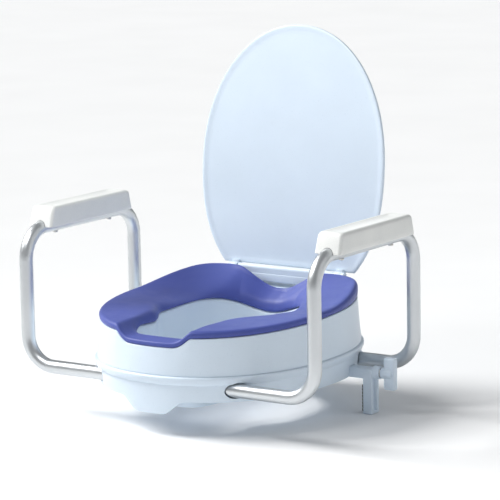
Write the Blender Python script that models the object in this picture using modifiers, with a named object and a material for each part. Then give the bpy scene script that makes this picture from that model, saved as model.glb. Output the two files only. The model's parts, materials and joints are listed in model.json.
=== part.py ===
"""Raised toilet seat with a lid, a padded ring, two plug-in arms and two rim clamps.

Metres, +Z up, +Y towards the cistern, X = 0 the plane of symmetry.
The origin is the middle of the seat in the plane of the bowl's rim.
"""
import math

import bmesh
import bpy
from mathutils import Matrix, Vector

# ---------------------------------------------------------------- driving dimensions
GAP = 0.0003                      # clearance between pieces that touch
# steps round the right half of the seat as (from, to, number) in degrees, close together where it recedes
STEPS = ((-90, -64, 7), (-64, -38, 5), (-38, 38, 9), (38, 90, 9))

# egg outline of the seat, two half superellipses that meet at the widest line
HALF_WIDTH = 0.1898
FRONT_LENGTH = 0.2270
REAR_LENGTH = 0.2183
FRONT_POWER = 2.19
REAR_POWER = 2.2

# aperture, a keyhole that is narrow at the front
HOLE_HALF_WIDTH = 0.1000
HOLE_FRONT = 0.1900
HOLE_REAR = 0.1130
HOLE_FRONT_POWER = 6.0
HOLE_REAR_POWER = 2.5
HOLE_NECK = 0.70                   # width left in the front slot, as a part of the full width
HOLE_NECK_START = -0.045
HOLE_NECK_END = -0.115

# heights
BASE_Z = 0.002                    # underside of the base's floor
LIP_Z = 0.0008                    # lower edge of the base's skirt
FLOOR_THICK = 0.003
BEAD_Z = 0.0400
BEAD_OUT = 0.0090
BEAD_SLOPE = 0.012                # the bead and the joint above it rise towards the rear
JOIN_Z = 0.0445                   # the upper moulding's skirt starts here
SPIGOT_TOP = 0.0575
DECK_Z = 0.1102
DECK_SLOPE = 0.047
DECK_DISH = 0.0115
FUNNEL_BOTTOM = -0.015
WALL = 0.003
DECK_CORNER = 0.002

# recesses in the deck, front and rear
FRONT_DIP = 0.0152
FRONT_DIP_HALF = 0.040
FRONT_DIP_SHOULDER = 0.028
FRONT_DIP_START = 0.135
REAR_DIP = 0.0265
REAR_DIP_SHOULDER = 0.105
REAR_DIP_END = 0.112
RAMP = 0.036                      # the deck climbs back to its full height over this length

# cushion
CUSHION_Z = 0.1215
CUSHION_SLOPE = 0.045
CUSHION_RISE = 0.0175             # its rear wings rise by this much more
CUSHION_RISE_LENGTH = 0.165
CUSHION_DISH = 0.0220
CUSHION_FRONT_DIP = 0.0180
CUSHION_REAR_DIP = 0.0310
CUSHION_DIP_HALF = 0.005
CUSHION_DIP_SHOULDER = 0.080
WING_REAR = 0.1560                # how far back the cushion's rear wings reach
NOTCH_REAR = 0.1480               # and its middle, in the rear recess
NOTCH_HALF = 0.045
NOTCH_SHOULDER = 0.060
WING_ROUND = 0.030                # how softly the wings' outer corners turn

# front drop tab
TAB_DEPTH = 0.0213
TAB_HALF = 0.0225
TAB_FLANK = 0.037

# lid and hinge
AXIS_Y = 0.1645
AXIS_Z = 0.1400
LID_LEAN = math.radians(6.6)
LID_HALF_WIDTH = 0.1770
LID_WIDEST = 0.1738               # from the axis up to the widest line
LID_ABOVE = 0.2306
LID_BELOW = 0.2201
LID_ABOVE_POWER = 2.06
LID_BELOW_POWER = 2.31
LID_START = 0.0055
LID_OFFSET = 0.0062               # the plate lies this far behind the axis
LID_THICK = 0.0070
LID_BOW = 0.0069                  # the plate bows towards the seat by this much in its middle
LID_RIM_HIGH = 0.0014
LID_RIM_WIDE = 0.0050
LUG_X = 0.1020
LUG_HALF = 0.0115
CHEEK = 0.0050
CHEEK_R = 0.0055
PIN_R = 0.0024
BAR_FRONT = 0.1585
BAR_REAR = 0.1715
BAR_TOP = 0.1330
BAR_BOTTOM = 0.1187
HINGE_SCREW_Y = 0.1650

# arms
TUBE_R = 0.011
TUBE_WALL = 0.0016
ARM_X = 0.2725
ARM_FRONT_Y = -0.178
ARM_REAR_Y = 0.1145
ARM_LOW_Z = 0.0192
ARM_TOP_Z = 0.2358
BEND_R = 0.048
PRONG_FRONT_X = 0.074
PRONG_REAR_X = 0.095
SLEEVE_WALL = 0.0032
SLEEVE_CLEAR = 0.0004
SLEEVE_FRONT_X = 0.1045
SLEEVE_REAR_X = 0.1695
MOUTH_R = 0.0130                  # the hole in the skirt, a little wider than the sleeve
PAD_FRONT = -0.1408
PAD_REAR = 0.0813
PAD_HALF = 0.0235
PAD_BOTTOM = 0.2365
PAD_TOP = 0.2694
PAD_SLOPE = 0.010                 # how far the pad's ends lean in
PAD_SCREW_Y = (-0.100, 0.045)

# clamps
CLAMP_Y = 0.0685
CLAMP_AXIS_Z = 0.0115
BAR_HALF = 0.0120
BAR_LOW = 0.0012
BAR_HIGH = 0.0172
BAR_INNER_X = 0.1380
SLOT_INNER_X = 0.1320
LEG_IN_X = 0.2115
LEG_OUT_X = 0.2280
LEG_LOW = -0.0560
NUT_X = 0.1220
NUT_THICK = 0.0065
SPINDLE_R = 0.0036
SPINDLE_IN_X = 0.1040
KNOB_X = 0.2450
KNOB_DEEP = 0.0215
KNOB_REACH = 0.0260

# screws: (x, y) of the six that hold the two mouldings together, on the +X side
ASSEMBLY_SCREWS = {"front": (0.140, -0.090), "middle": (0.155, 0.020), "rear": (0.070, 0.165)}
RIM_PADS = {"front": (0.112, -0.128, -48), "rear": (0.118, 0.140, 52)}

NAME = "raised_toilet_seat"

# ---------------------------------------------------------------- scene
for old in list(bpy.data.objects):
    bpy.data.objects.remove(old, do_unlink=True)
PARTS = bpy.data.collections.new(NAME)
CUTTERS = bpy.data.collections.new(NAME + "_cutters")
bpy.context.scene.collection.children.link(PARTS)
bpy.context.scene.collection.children.link(CUTTERS)


def material(name, colour, roughness, metallic=0.0):
    made = bpy.data.materials.new(name)
    made.use_nodes = True
    shader = made.node_tree.nodes["Principled BSDF"]
    shader.inputs["Base Color"].default_value = (*colour, 1.0)
    shader.inputs["Roughness"].default_value = roughness
    shader.inputs["Metallic"].default_value = metallic
    return made


WHITE = material("white_moulding", (0.68, 0.76, 0.84), 0.38)
BLUE = material("blue_foam", (0.075, 0.09, 0.42), 0.55)
CREAM = material("pad_moulding", (0.78, 0.79, 0.76), 0.45)
ALUMINIUM = material("anodised_tube", (0.74, 0.76, 0.77), 0.32, 1.0)
STEEL = material("zinc_steel", (0.62, 0.62, 0.60), 0.30, 1.0)
RUBBER = material("grey_rubber", (0.10, 0.10, 0.11), 0.80)


# ---------------------------------------------------------------- helpers
def smooth(value):
    """Ease from 0 to 1 as value runs from 0 to 1."""
    t = min(max(value, 0.0), 1.0)
    return t * t * (3.0 - 2.0 * t)


def add_object(name, mesh, mat, collection=PARTS):
    made = bpy.data.objects.new(name, mesh)
    collection.objects.link(made)
    if mat:
        mesh.materials.clear()
        mesh.materials.append(mat)
    if collection is CUTTERS:
        made.hide_render = True
        made.display_type = "WIRE"
    return made


def mesh_from(name, build):
    """A mesh filled in by build(bmesh), with its faces turned outward."""
    bm = bmesh.new()
    build(bm)
    bmesh.ops.recalc_face_normals(bm, faces=bm.faces)
    mesh = bpy.data.meshes.new(name)
    bm.to_mesh(mesh)
    bm.free()
    return mesh


def shade(obj, angle=35):
    obj.data.shade_smooth()
    obj.data.set_sharp_from_angle(angle=math.radians(angle))
    return obj


def box(name, low, high, mat=None, collection=PARTS):
    """A cuboid between two corners."""
    low, high = Vector(low), Vector(high)

    def build(bm):
        bmesh.ops.create_cube(bm, size=1.0)
        bmesh.ops.scale(bm, vec=high - low, verts=bm.verts)
        bmesh.ops.translate(bm, vec=(high + low) / 2, verts=bm.verts)

    return add_object(name, mesh_from(name, build), mat, collection)


AXIS_TURN = {"X": Matrix.Rotation(math.pi / 2, 4, "Y"), "Y": Matrix.Rotation(-math.pi / 2, 4, "X"), "Z": Matrix()}


def rod(name, centre, radius, length, axis, mat=None, collection=PARTS, sides=20, radius_end=None):
    """A cylinder or cone about centre, along X, Y or Z."""

    def build(bm):
        end = radius if radius_end is None else radius_end
        bmesh.ops.create_cone(bm, cap_ends=True, segments=sides, radius1=radius, radius2=end, depth=length)
        bmesh.ops.transform(bm, matrix=AXIS_TURN[axis], verts=bm.verts)
        bmesh.ops.translate(bm, vec=centre, verts=bm.verts)

    return add_object(name, mesh_from(name, build), mat, collection)


def turned(name, profile, centre, axis, mat, steps=20):
    """A profile of (radius, height) pairs, top to bottom, turned with a Screw about its own axis."""

    def build(bm):
        points = [bm.verts.new((radius, 0.0, height)) for radius, height in profile]
        for first, second in zip(points, points[1:]):
            bm.edges.new((first, second))

    bm = bmesh.new()
    build(bm)
    mesh = bpy.data.meshes.new(name)
    bm.to_mesh(mesh)
    bm.free()
    made = add_object(name, mesh, mat)
    screw = made.modifiers.new("Turn", "SCREW")
    screw.steps = steps
    screw.render_steps = steps
    screw.use_merge_vertices = True
    screw.merge_threshold = 0.00005
    made.matrix_world = Matrix.Translation(centre) @ AXIS_TURN[axis]
    return made


def plate(name, outline, thickness, mat, collection=PARTS):
    """A flat outline in XY, thickness high about z = 0, from a filled 2D curve."""
    curve = bpy.data.curves.new(name, "CURVE")
    curve.dimensions = "2D"
    curve.fill_mode = "BOTH"
    curve.extrude = thickness / 2
    spline = curve.splines.new("POLY")
    spline.points.add(len(outline) - 1)
    for point, (x, y) in zip(spline.points, outline):
        point.co = (x, y, 0.0, 1.0)
    spline.use_cyclic_u = True
    return curve_to_mesh(name, curve, mat, collection)


def curve_to_mesh(name, curve, mat, collection=PARTS):
    """The mesh of a curve, with its caps welded on."""
    holder = bpy.data.objects.new(name + "_curve", curve)
    bpy.context.scene.collection.objects.link(holder)
    view = bpy.context.evaluated_depsgraph_get()
    mesh = bpy.data.meshes.new_from_object(holder.evaluated_get(view))
    matrix = holder.matrix_world.copy()
    bm = bmesh.new()
    bm.from_mesh(mesh)
    bmesh.ops.remove_doubles(bm, verts=bm.verts, dist=0.00001)
    bmesh.ops.recalc_face_normals(bm, faces=bm.faces)
    bm.to_mesh(mesh)
    bm.free()
    mesh.name = name
    made = add_object(name, mesh, mat, collection)
    made.matrix_world = matrix
    bpy.data.objects.remove(holder, do_unlink=True)
    return made


def tube(name, path, radius, mat, collection=PARTS, resolution=2):
    """A round bar that follows a path of points."""
    curve = bpy.data.curves.new(name, "CURVE")
    curve.dimensions = "3D"
    curve.bevel_depth = radius
    curve.bevel_resolution = resolution
    curve.use_fill_caps = True
    spline = curve.splines.new("POLY")
    spline.points.add(len(path) - 1)
    for point, place in zip(spline.points, path):
        point.co = (*place, 1.0)
    return curve_to_mesh(name, curve, mat, collection)


def boolean(target, tool, operation="DIFFERENCE"):
    change = target.modifiers.new(operation.title() + " " + tool.name, "BOOLEAN")
    change.operation = operation
    change.solver = "EXACT"
    change.object = tool
    if operation != "DIFFERENCE":
        tool.hide_render = True
        tool.display_type = "WIRE"
    return target


def bevel(obj, width, segments=2, angle=40):
    edge = obj.modifiers.new("Round", "BEVEL")
    edge.width = width
    edge.segments = segments
    edge.limit_method = "ANGLE"
    edge.angle_limit = math.radians(angle)
    return obj


def superellipse(turn, half_width, front, rear, front_power, rear_power):
    """A point at angle turn on an egg of two half superellipses."""
    c, s = math.cos(turn), math.sin(turn)
    power = front_power if s < 0 else rear_power
    reach = front if s < 0 else rear
    x = half_width * math.copysign(abs(c) ** (2 / power), c)
    y = reach * math.copysign(abs(s) ** (2 / power), s)
    return x, y


def from_centre(turn, outside):
    """The point in the direction turn where outside(x, y) goes from negative to positive."""
    c, s = math.cos(turn), math.sin(turn)
    near, far = 0.0, 0.4
    for _ in range(26):
        middle = (near + far) / 2
        if outside(middle * c, middle * s) > 0:
            far = middle
        else:
            near = middle
    return near * c, near * s


def seat_outside(x, y, grow=0.0):
    """Roughly how far (x, y) lies outside the seat's egg, grown by grow."""
    power, reach = (FRONT_POWER, FRONT_LENGTH) if y < 0 else (REAR_POWER, REAR_LENGTH)
    norm = ((abs(x) / (HALF_WIDTH + grow)) ** power + (abs(y) / (reach + grow)) ** power) ** (1 / power)
    return (norm - 1) * HALF_WIDTH


def seat_outline(turn, grow=0.0):
    return from_centre(turn, lambda x, y: seat_outside(x, y, grow))


def hole_outline(turn, grow=0.0):
    """The aperture's keyhole, grown outward by grow."""

    def outside(x, y):
        neck = smooth((y - HOLE_NECK_START) / (HOLE_NECK_END - HOLE_NECK_START))
        half = HOLE_HALF_WIDTH * (1 - (1 - HOLE_NECK) * neck) + grow
        power, reach = (HOLE_FRONT_POWER, HOLE_FRONT) if y < 0 else (HOLE_REAR_POWER, HOLE_REAR)
        return (abs(x) / half) ** power + (abs(y) / (reach + grow)) ** power - 1

    return from_centre(turn, outside)


def cushion_outline(turn, grow=0.0):
    """The cushion's outer edge: the seat's egg, notched at the rear between two wings."""

    def outside(x, y):
        rear = NOTCH_REAR + (WING_REAR - NOTCH_REAR) * smooth((abs(x) - NOTCH_HALF) / NOTCH_SHOULDER)
        beyond_egg, beyond_rear = seat_outside(x, y, grow), y - rear - grow
        overlap = max(WING_ROUND - abs(beyond_egg - beyond_rear), 0.0)
        return max(beyond_egg, beyond_rear) + overlap ** 2 / (4 * WING_ROUND)

    return from_centre(turn, outside)


def front_recess(x, y):
    """1 in the middle of the front recess, 0 outside it."""
    across = 1 - min(max((abs(x) - FRONT_DIP_HALF) / FRONT_DIP_SHOULDER, 0.0), 1.0) ** 2
    return across * smooth((-y - FRONT_DIP_START) / 0.035)


def deck_height(x, y):
    """The deck's top at (x, y): a slope, a dish that sinks away from the rim, and the two recesses."""
    inward = -seat_outside(x, y) / HALF_WIDTH
    rear = (1 - smooth(abs(x) / REAR_DIP_SHOULDER)) * (1 - smooth((y - REAR_DIP_END) / RAMP)) * (y > 0)
    dips = FRONT_DIP * front_recess(x, y) + REAR_DIP * rear
    return DECK_Z + DECK_SLOPE * y - DECK_DISH * smooth(inward / 0.48) - dips


def cushion_height(x, y, across, width):
    """The cushion's top, which slopes down towards the aperture, less in front and where it is narrow."""
    crest = CUSHION_Z + CUSHION_SLOPE * y + CUSHION_RISE * smooth(y / CUSHION_RISE_LENGTH)
    dish = CUSHION_DISH * smooth((y + 0.110) / 0.190) * min(1.0, width / DISH_WIDTH) * across ** 1.15
    rear = (1 - smooth((abs(x) - CUSHION_DIP_HALF) / CUSHION_DIP_SHOULDER)) * smooth(y / 0.060)
    return crest - dish - CUSHION_FRONT_DIP * front_recess(x, y) - CUSHION_REAR_DIP * rear


def turns():
    """The directions of the rings' points, the same on both sides of X = 0."""
    right = []
    for first, last, number in STEPS:
        right += [math.radians(first + (last - first) * (k + 0.5) / number) for k in range(number)]
    return right + [math.pi - turn for turn in reversed(right)]


def loft(name, rows, mat, collection=PARTS):
    """A closed ring lofted through rows, each a function of the direction that gives a point."""

    def build(bm):
        rings = [[bm.verts.new(row(turn)) for turn in turns()] for row in rows]
        for first, second in zip(rings, rings[1:] + rings[:1]):
            for i in range(len(first)):
                j = (i + 1) % len(first)
                if first[i].co.x + first[j].co.x > 0:
                    halves = (first[i], first[j], second[j]), (first[i], second[j], second[i])
                else:
                    halves = (first[i], first[j], second[i]), (first[j], second[j], second[i])
                for half in halves:
                    bm.faces.new(half)

    return add_object(name, mesh_from(name, build), mat, collection)


def outer_row(grow, height):
    """A level row that follows the seat's egg."""

    def row(turn):
        x, y = seat_outline(turn, grow)
        return x, y, height

    return row


def bead_row(grow, height):
    """A row that follows the seat's egg and the bead's slope; height is where it crosses Y = 0."""

    def row(turn):
        x, y = seat_outline(turn, grow)
        return x, y, height + BEAD_SLOPE * y

    return row


def hole_row(grow, height):
    """A level row that follows the aperture."""

    def row(turn):
        x, y = hole_outline(turn, grow)
        return x, y, height

    return row


def deck_row(across, drop, outer_grow=0.0, inner_grow=0.0):
    """A row on the deck, drop below its top, part of the way from the rim to the aperture."""

    def row(turn):
        outer = seat_outline(turn, outer_grow)
        inner = hole_outline(turn, inner_grow)
        x = outer[0] + (inner[0] - outer[0]) * across
        y = outer[1] + (inner[1] - outer[1]) * across
        return x, y, deck_height(x, y) - drop

    return row


def mirrored(side):
    return 1 if side == "right" else -1


# ---------------------------------------------------------------- the two mouldings
def make_seat_shell():
    """Upper moulding: skirt, deck with its recesses, and the funnel inside the aperture."""
    w = WALL
    rows = [
        bead_row(0.0050, JOIN_Z + GAP), bead_row(0.0030, 0.066), deck_row(0.0, DECK_CORNER),
        deck_row(0.0, DECK_CORNER * 0.3, -0.0012), deck_row(0.0, 0.0, -DECK_CORNER),
        deck_row(0.35, 0.0), deck_row(0.70, 0.0), deck_row(1.0, 0.0, 0.0, 0.0040),
        deck_row(1.0, 0.0015, 0.0, 0.0010), deck_row(1.0, 0.0050),
        hole_row(-0.0005, 0.060), hole_row(-0.0020, FUNNEL_BOTTOM), hole_row(w - 0.0020, FUNNEL_BOTTOM),
        hole_row(w - 0.0005, 0.060), deck_row(1.0, 0.0060, 0.0, w), deck_row(0.70, w),
        deck_row(0.35, w), deck_row(0.0, w + 0.0005, -w - 0.0010), deck_row(0.0, w + DECK_CORNER, -w),
        bead_row(0.0030 - w, 0.066), bead_row(0.0050 - w, JOIN_Z + GAP)]
    shell = loft("seat_shell", rows, WHITE)
    for side in ("right", "left"):
        m = mirrored(side)
        for place, (x, y) in ASSEMBLY_SCREWS.items():
            foot = BASE_Z + FLOOR_THICK + GAP
            top = deck_height(x, y) - 0.0012
            boss = rod(f"boss_{place}_{side}", (m * x, y, (foot + top) / 2), 0.0048, top - foot, "Z",
                       collection=CUTTERS, sides=12)
            boolean(shell, boss, "UNION")
        for place, (x, y) in ASSEMBLY_SCREWS.items():
            hole = rod(f"boss_hole_{place}_{side}", (m * x, y, 0.010), 0.0023, 0.034, "Z",
                       collection=CUTTERS, sides=10)
            boolean(shell, hole)
        hinge_hole = rod(f"deck_hole_{side}", (m * LUG_X, HINGE_SCREW_Y, BAR_BOTTOM), 0.0023, 0.020, "Z",
                         collection=CUTTERS, sides=12)
        boolean(shell, hinge_hole)
    return shade(shell)


def tab_drop(x):
    return TAB_DEPTH * (1 - smooth((abs(x) - TAB_HALF) / TAB_FLANK))


def lip_row(grow):
    """The base skirt's lower edge, which drops at the front to form the tab."""

    def row(turn):
        x, y = seat_outline(turn, grow)
        drop = tab_drop(x) if y < 0 else 0.0
        return x, y, LIP_Z - drop

    return row


def make_base_ring():
    """Lower moulding: floor, skirt with its bead and front tab, sleeves for the arms, nut blocks."""
    w = WALL
    floor_top = BASE_Z + FLOOR_THICK
    rows = [
        hole_row(0.0052, BASE_Z), outer_row(-w - 0.0002, BASE_Z), lip_row(-w), lip_row(0.0002),
        outer_row(0.0012, BASE_Z + 0.004), bead_row(0.0034, BEAD_Z - 0.0090),
        bead_row(0.0048, BEAD_Z - 0.0084), bead_row(0.0074, BEAD_Z - 0.0050),
        bead_row(BEAD_OUT, BEAD_Z - 0.0006), bead_row(BEAD_OUT - 0.0004, BEAD_Z + 0.0022),
        bead_row(0.0056, JOIN_Z - 0.0004),
        bead_row(0.0014, JOIN_Z), bead_row(0.0002, SPIGOT_TOP), bead_row(0.0002 - w, SPIGOT_TOP),
        bead_row(0.0014 - w, JOIN_Z - w), bead_row(0.0034 - w, BEAD_Z - 0.010),
        outer_row(0.0012 - w, floor_top), hole_row(0.0052, floor_top)]
    base = loft("base_ring", rows, WHITE)
    for side in ("right", "left"):
        m = mirrored(side)
        for place, y, inner in (("front", ARM_FRONT_Y, PRONG_FRONT_X), ("rear", ARM_REAR_Y, PRONG_REAR_X)):
            outer = SLEEVE_FRONT_X if place == "front" else SLEEVE_REAR_X
            r = TUBE_R + SLEEVE_CLEAR + SLEEVE_WALL
            start = inner - 0.006
            web = box(f"sleeve_web_{place}_{side}", (m * (start + 0.001), y - 0.005, BASE_Z + 0.001),
                      (m * (outer - 0.001), y + 0.005, ARM_LOW_Z), collection=CUTTERS)
            boolean(base, web, "UNION")
            sleeve = rod(f"sleeve_{place}_{side}", (m * (start + outer) / 2, y, ARM_LOW_Z), r, outer - start,
                         "X", collection=CUTTERS, sides=18)
            boolean(base, sleeve, "UNION")
        block = box(f"nut_block_{side}", (m * (NUT_X - 0.0030), CLAMP_Y - 0.0130, BASE_Z + 0.001),
                    (m * (NUT_X + NUT_THICK + 0.0030), CLAMP_Y + 0.0130, 0.0215), collection=CUTTERS)
        boolean(base, block, "UNION")
        for place, y, inner in (("front", ARM_FRONT_Y, PRONG_FRONT_X), ("rear", ARM_REAR_Y, PRONG_REAR_X)):
            bore = rod(f"prong_bore_{place}_{side}", (m * (inner - 0.003 + 0.250) / 2, y, ARM_LOW_Z),
                       TUBE_R + SLEEVE_CLEAR, 0.250 - inner + 0.003, "X", collection=CUTTERS, sides=18)
            boolean(base, bore)
            start = (SLEEVE_FRONT_X if place == "front" else SLEEVE_REAR_X) - 0.0015
            mouth = rod(f"skirt_hole_{place}_{side}", (m * (start + 0.250) / 2, y, ARM_LOW_Z), MOUTH_R,
                        0.250 - start, "X", collection=CUTTERS, sides=20)
            boolean(base, mouth)
        nut = rod(f"nut_pocket_{side}", (m * (NUT_X + NUT_THICK / 2), CLAMP_Y, CLAMP_AXIS_Z),
                  0.0080, NUT_THICK + 2 * GAP, "X", collection=CUTTERS, sides=6)
        boolean(base, nut)
        top_way = box(f"nut_way_{side}", (m * (NUT_X - GAP), CLAMP_Y - 0.0072, CLAMP_AXIS_Z),
                      (m * (NUT_X + NUT_THICK + GAP), CLAMP_Y + 0.0072, 0.030), collection=CUTTERS)
        boolean(base, top_way)
        slot = box(f"clamp_slot_{side}", (m * SLOT_INNER_X, CLAMP_Y - BAR_HALF - 0.0006, -0.010),
                   (m * 0.240, CLAMP_Y + BAR_HALF + 0.0006, BAR_HIGH + 0.0008), collection=CUTTERS)
        boolean(base, slot)
        bore = rod(f"spindle_bore_{side}", (m * 0.120, CLAMP_Y, CLAMP_AXIS_Z), SPINDLE_R + 0.0005, 0.060, "X",
                   collection=CUTTERS, sides=20)
        boolean(base, bore)
        for place, (x, y) in ASSEMBLY_SCREWS.items():
            through = rod(f"floor_hole_{place}_{side}", (m * x, y, BASE_Z), 0.0025, 0.012, "Z",
                          collection=CUTTERS, sides=10)
            boolean(base, through)
            counter = rod(f"floor_counterbore_{place}_{side}", (m * x, y, BASE_Z - 0.0017), 0.0045, 0.0070, "Z",
                          collection=CUTTERS, sides=12)
            boolean(base, counter)
    return shade(base)


# ---------------------------------------------------------------- cushion
UNDER = -0.25                     # how far below the deck the uncut cushion goes, as a part of its height
ROUND_WIDTH = 0.045               # where the ring is narrower than this its rounding shrinks with it
DISH_WIDTH = 0.055                # and where it is narrower than this its slope does


def make_cushion():
    """Blue foam ring on the deck, with a rounded outer ridge and a face that slopes inward."""

    def row(across, outer_grow, inner_grow, rise=UNDER):
        def place(turn):
            inner = hole_outline(turn, inner_grow)
            width = math.dist(cushion_outline(turn), inner)
            outer = cushion_outline(turn, outer_grow * min(1.0, width / ROUND_WIDTH))
            x = outer[0] + (inner[0] - outer[0]) * across
            y = outer[1] + (inner[1] - outer[1]) * across
            deck = deck_height(x, y)
            return x, y, deck + (cushion_height(x, y, across, width) - deck) * rise

        return place

    rows = [
        row(0.0, -0.0050, 0.0), row(0.0, -0.0008, 0.0, 0.12), row(0.0, 0.0006, 0.0, 0.42),
        row(0.0, 0.0, 0.0, 0.76), row(0.0, -0.0026, 0.0, 0.94), row(0.0, -0.0075, 0.0, 1.0),
        row(0.40, 0.0, 0.0, 1.0), row(0.78, 0.0, 0.0, 1.0), row(0.88, 0.0, 0.0, 0.93),
        row(0.96, 0.0, 0.0, 0.72), row(1.0, 0.0, -0.0005, 0.42), row(1.0, 0.0, 0.0, 0.12),
        row(1.0, 0.0, 0.0040)]
    cushion = loft("seat_cushion", rows, BLUE)
    bed = loft("cushion_bed", [
        outer_row(0.030, 0.030), deck_row(0.0, -GAP, 0.012), deck_row(0.0, -GAP, -DECK_CORNER),
        deck_row(0.35, -GAP), deck_row(0.70, -GAP), deck_row(1.0, -GAP, 0.0, 0.0040),
        deck_row(1.0, -GAP, 0.0, -0.010), hole_row(-0.010, 0.030)], None, CUTTERS)
    return shade(boolean(cushion, bed), 60)


# ---------------------------------------------------------------- lid and hinge
def lid_outline(shrink, steps=48):
    """The lid's egg, cut straight across near the axis; x across, y up from the axis."""
    level = (LID_WIDEST - LID_START - shrink) / (LID_BELOW - shrink)
    start = -math.asin(level ** (LID_BELOW_POWER / 2))
    points = []
    for k in range(steps + 1):
        turn = start + (math.pi - 2 * start) * k / steps
        x, y = superellipse(turn, LID_HALF_WIDTH - shrink, LID_BELOW - shrink, LID_ABOVE - shrink,
                            LID_BELOW_POWER, LID_ABOVE_POWER)
        points.append((x, y + LID_WIDEST))
    return points


def lid_frame():
    """From the lid's own frame (x across, y up the plate, z towards the seat) to the seat's."""
    stand = Matrix.Rotation(math.pi / 2 - LID_LEAN, 4, "X")
    return Matrix.Translation((0, AXIS_Y, AXIS_Z)) @ stand


def make_lid():
    """Bowed egg plate with a shallow recess on the side that faces the seat, and two hinge ears."""
    frame = lid_frame()
    face, back = -LID_OFFSET, -LID_OFFSET - LID_THICK
    recess_face = face - LID_RIM_HIGH
    # (inset from the outline or a part of the recess's size, height)
    rows = [(0.0030, 1.0, back), (0.0, 1.0, back + 0.0020), (0.0, 1.0, face - 0.0010), (0.0010, 1.0, face),
            (LID_RIM_WIDE - 0.0010, 1.0, face), (LID_RIM_WIDE + 0.0010, 1.0, recess_face),
            (LID_RIM_WIDE + 0.0010, 0.66, recess_face), (LID_RIM_WIDE + 0.0010, 0.33, recess_face)]
    length = LID_WIDEST + LID_ABOVE
    middle = LID_START + (length - LID_START) / 2

    def place(x, y, z):
        along = (y - LID_START) / (length - LID_START)
        return x, y, z + LID_BOW * 4 * along * (1 - along)

    def build(bm):
        rings = []
        for inset, part, z in rows:
            outline = lid_outline(inset)
            rings.append([bm.verts.new(place(x * part, middle + (y - middle) * part, z)) for x, y in outline])
        for part in (0.33, 0.66):
            outline = lid_outline(0.0030)
            rings.insert(0, [bm.verts.new(place(x * part, middle + (y - middle) * part, back))
                             for x, y in outline])
        rings[0], rings[1] = rings[1], rings[0]
        for first, second in zip(rings, rings[1:]):
            for i in range(len(first)):
                j = (i + 1) % len(first)
                bm.faces.new((first[i], first[j], second[j], second[i]))
        for ring, z in ((rings[0], back), (rings[-1], recess_face)):
            centre = bm.verts.new(place(0.0, middle, z))
            for i in range(len(ring)):
                bm.faces.new((ring[i], ring[(i + 1) % len(ring)], centre))

    lid = add_object("lid", mesh_from("lid", build), WHITE)
    lid.matrix_world = frame
    for side in ("right", "left"):
        m = mirrored(side)
        half = LUG_HALF - CHEEK - GAP
        ear = rod(f"ear_{side}", (m * LUG_X, 0, 0), CHEEK_R, 2 * half, "X", collection=CUTTERS, sides=16)
        ear.matrix_world = frame
        boolean(lid, ear, "UNION")
        web = box(f"web_{side}", (m * LUG_X - half, -0.0008, -LID_OFFSET - LID_THICK + 0.0015),
                  (m * LUG_X + half, LID_START + 0.0045, -0.0005), collection=CUTTERS)
        web.matrix_world = frame
        boolean(lid, web, "UNION")
        pin_hole = rod(f"ear_hole_{side}", (m * LUG_X, 0, 0), PIN_R + 0.0003, 0.040, "X", collection=CUTTERS,
                       sides=12)
        pin_hole.matrix_world = frame
        boolean(lid, pin_hole)
    return shade(lid)


def make_hinge():
    """Cross bar on the deck with a barrel along the axis, a fork at each end, pins and screws."""
    end = LUG_X + LUG_HALF
    bar = box("hinge_bar", (-end, BAR_FRONT, BAR_BOTTOM), (end, BAR_REAR, BAR_TOP), WHITE)
    bevel(bar, 0.0015, 1)
    reach = LUG_X - LUG_HALF + CHEEK / 2
    barrel = rod("barrel", (0, AXIS_Y, AXIS_Z), CHEEK_R, 2 * reach, "X", collection=CUTTERS, sides=16)
    boolean(bar, barrel, "UNION")
    rib = box("barrel_rib", (-reach + 0.0002, AXIS_Y - CHEEK_R + 0.0001, BAR_TOP - 0.003),
              (reach - 0.0002, AXIS_Y + CHEEK_R - 0.0001, AXIS_Z), collection=CUTTERS)
    boolean(bar, rib, "UNION")
    for side in ("right", "left"):
        m = mirrored(side)
        for part, sign in (("outer", 1), ("inner", -1)):
            x = m * (LUG_X + sign * (LUG_HALF - CHEEK / 2))
            cheek = rod(f"cheek_{part}_{side}", (x, AXIS_Y, AXIS_Z), CHEEK_R, CHEEK, "X", collection=CUTTERS,
                        sides=16)
            boolean(bar, cheek, "UNION")
            post = box(f"post_{part}_{side}", (x - CHEEK / 2 + 0.0001, AXIS_Y - CHEEK_R + 0.0001, BAR_TOP - 0.003),
                       (x + CHEEK / 2 - 0.0001, AXIS_Y + CHEEK_R - 0.0001, AXIS_Z), collection=CUTTERS)
            boolean(bar, post, "UNION")
        pin_hole = rod(f"fork_hole_{side}", (m * LUG_X, AXIS_Y, AXIS_Z), PIN_R + 0.0003, 0.040, "X",
                       collection=CUTTERS, sides=12)
        boolean(bar, pin_hole)
        screw_hole = rod(f"bar_hole_{side}", (m * LUG_X, HINGE_SCREW_Y, BAR_BOTTOM), 0.0023, 0.026, "Z",
                         collection=CUTTERS, sides=12)
        boolean(bar, screw_hole)
        shade(rod(f"hinge_pin_{side}", (m * LUG_X, AXIS_Y, AXIS_Z), PIN_R, 2 * LUG_HALF, "X", STEEL, sides=12))
        deck = deck_height(LUG_X, HINGE_SCREW_Y) - WALL
        screw(f"hinge_screw_{side}", (m * LUG_X, HINGE_SCREW_Y, deck - 0.0012), 0.0040, 0.0025, 0.0019,
              0.0150, "Z")
    shade(bar)


def screw(name, head_top, head_r, head_h, shaft_r, shaft_length, axis):
    """A pan-head screw whose shaft runs up from the head's top, along +Z before it is turned."""
    profile = [(0.0, shaft_length), (shaft_r, shaft_length), (shaft_r, 0.0), (head_r, 0.0),
               (head_r, -head_h * 0.5), (head_r * 0.6, -head_h), (0.0, -head_h)]
    return shade(turned(name, profile, head_top, axis, STEEL, 10))


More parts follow.
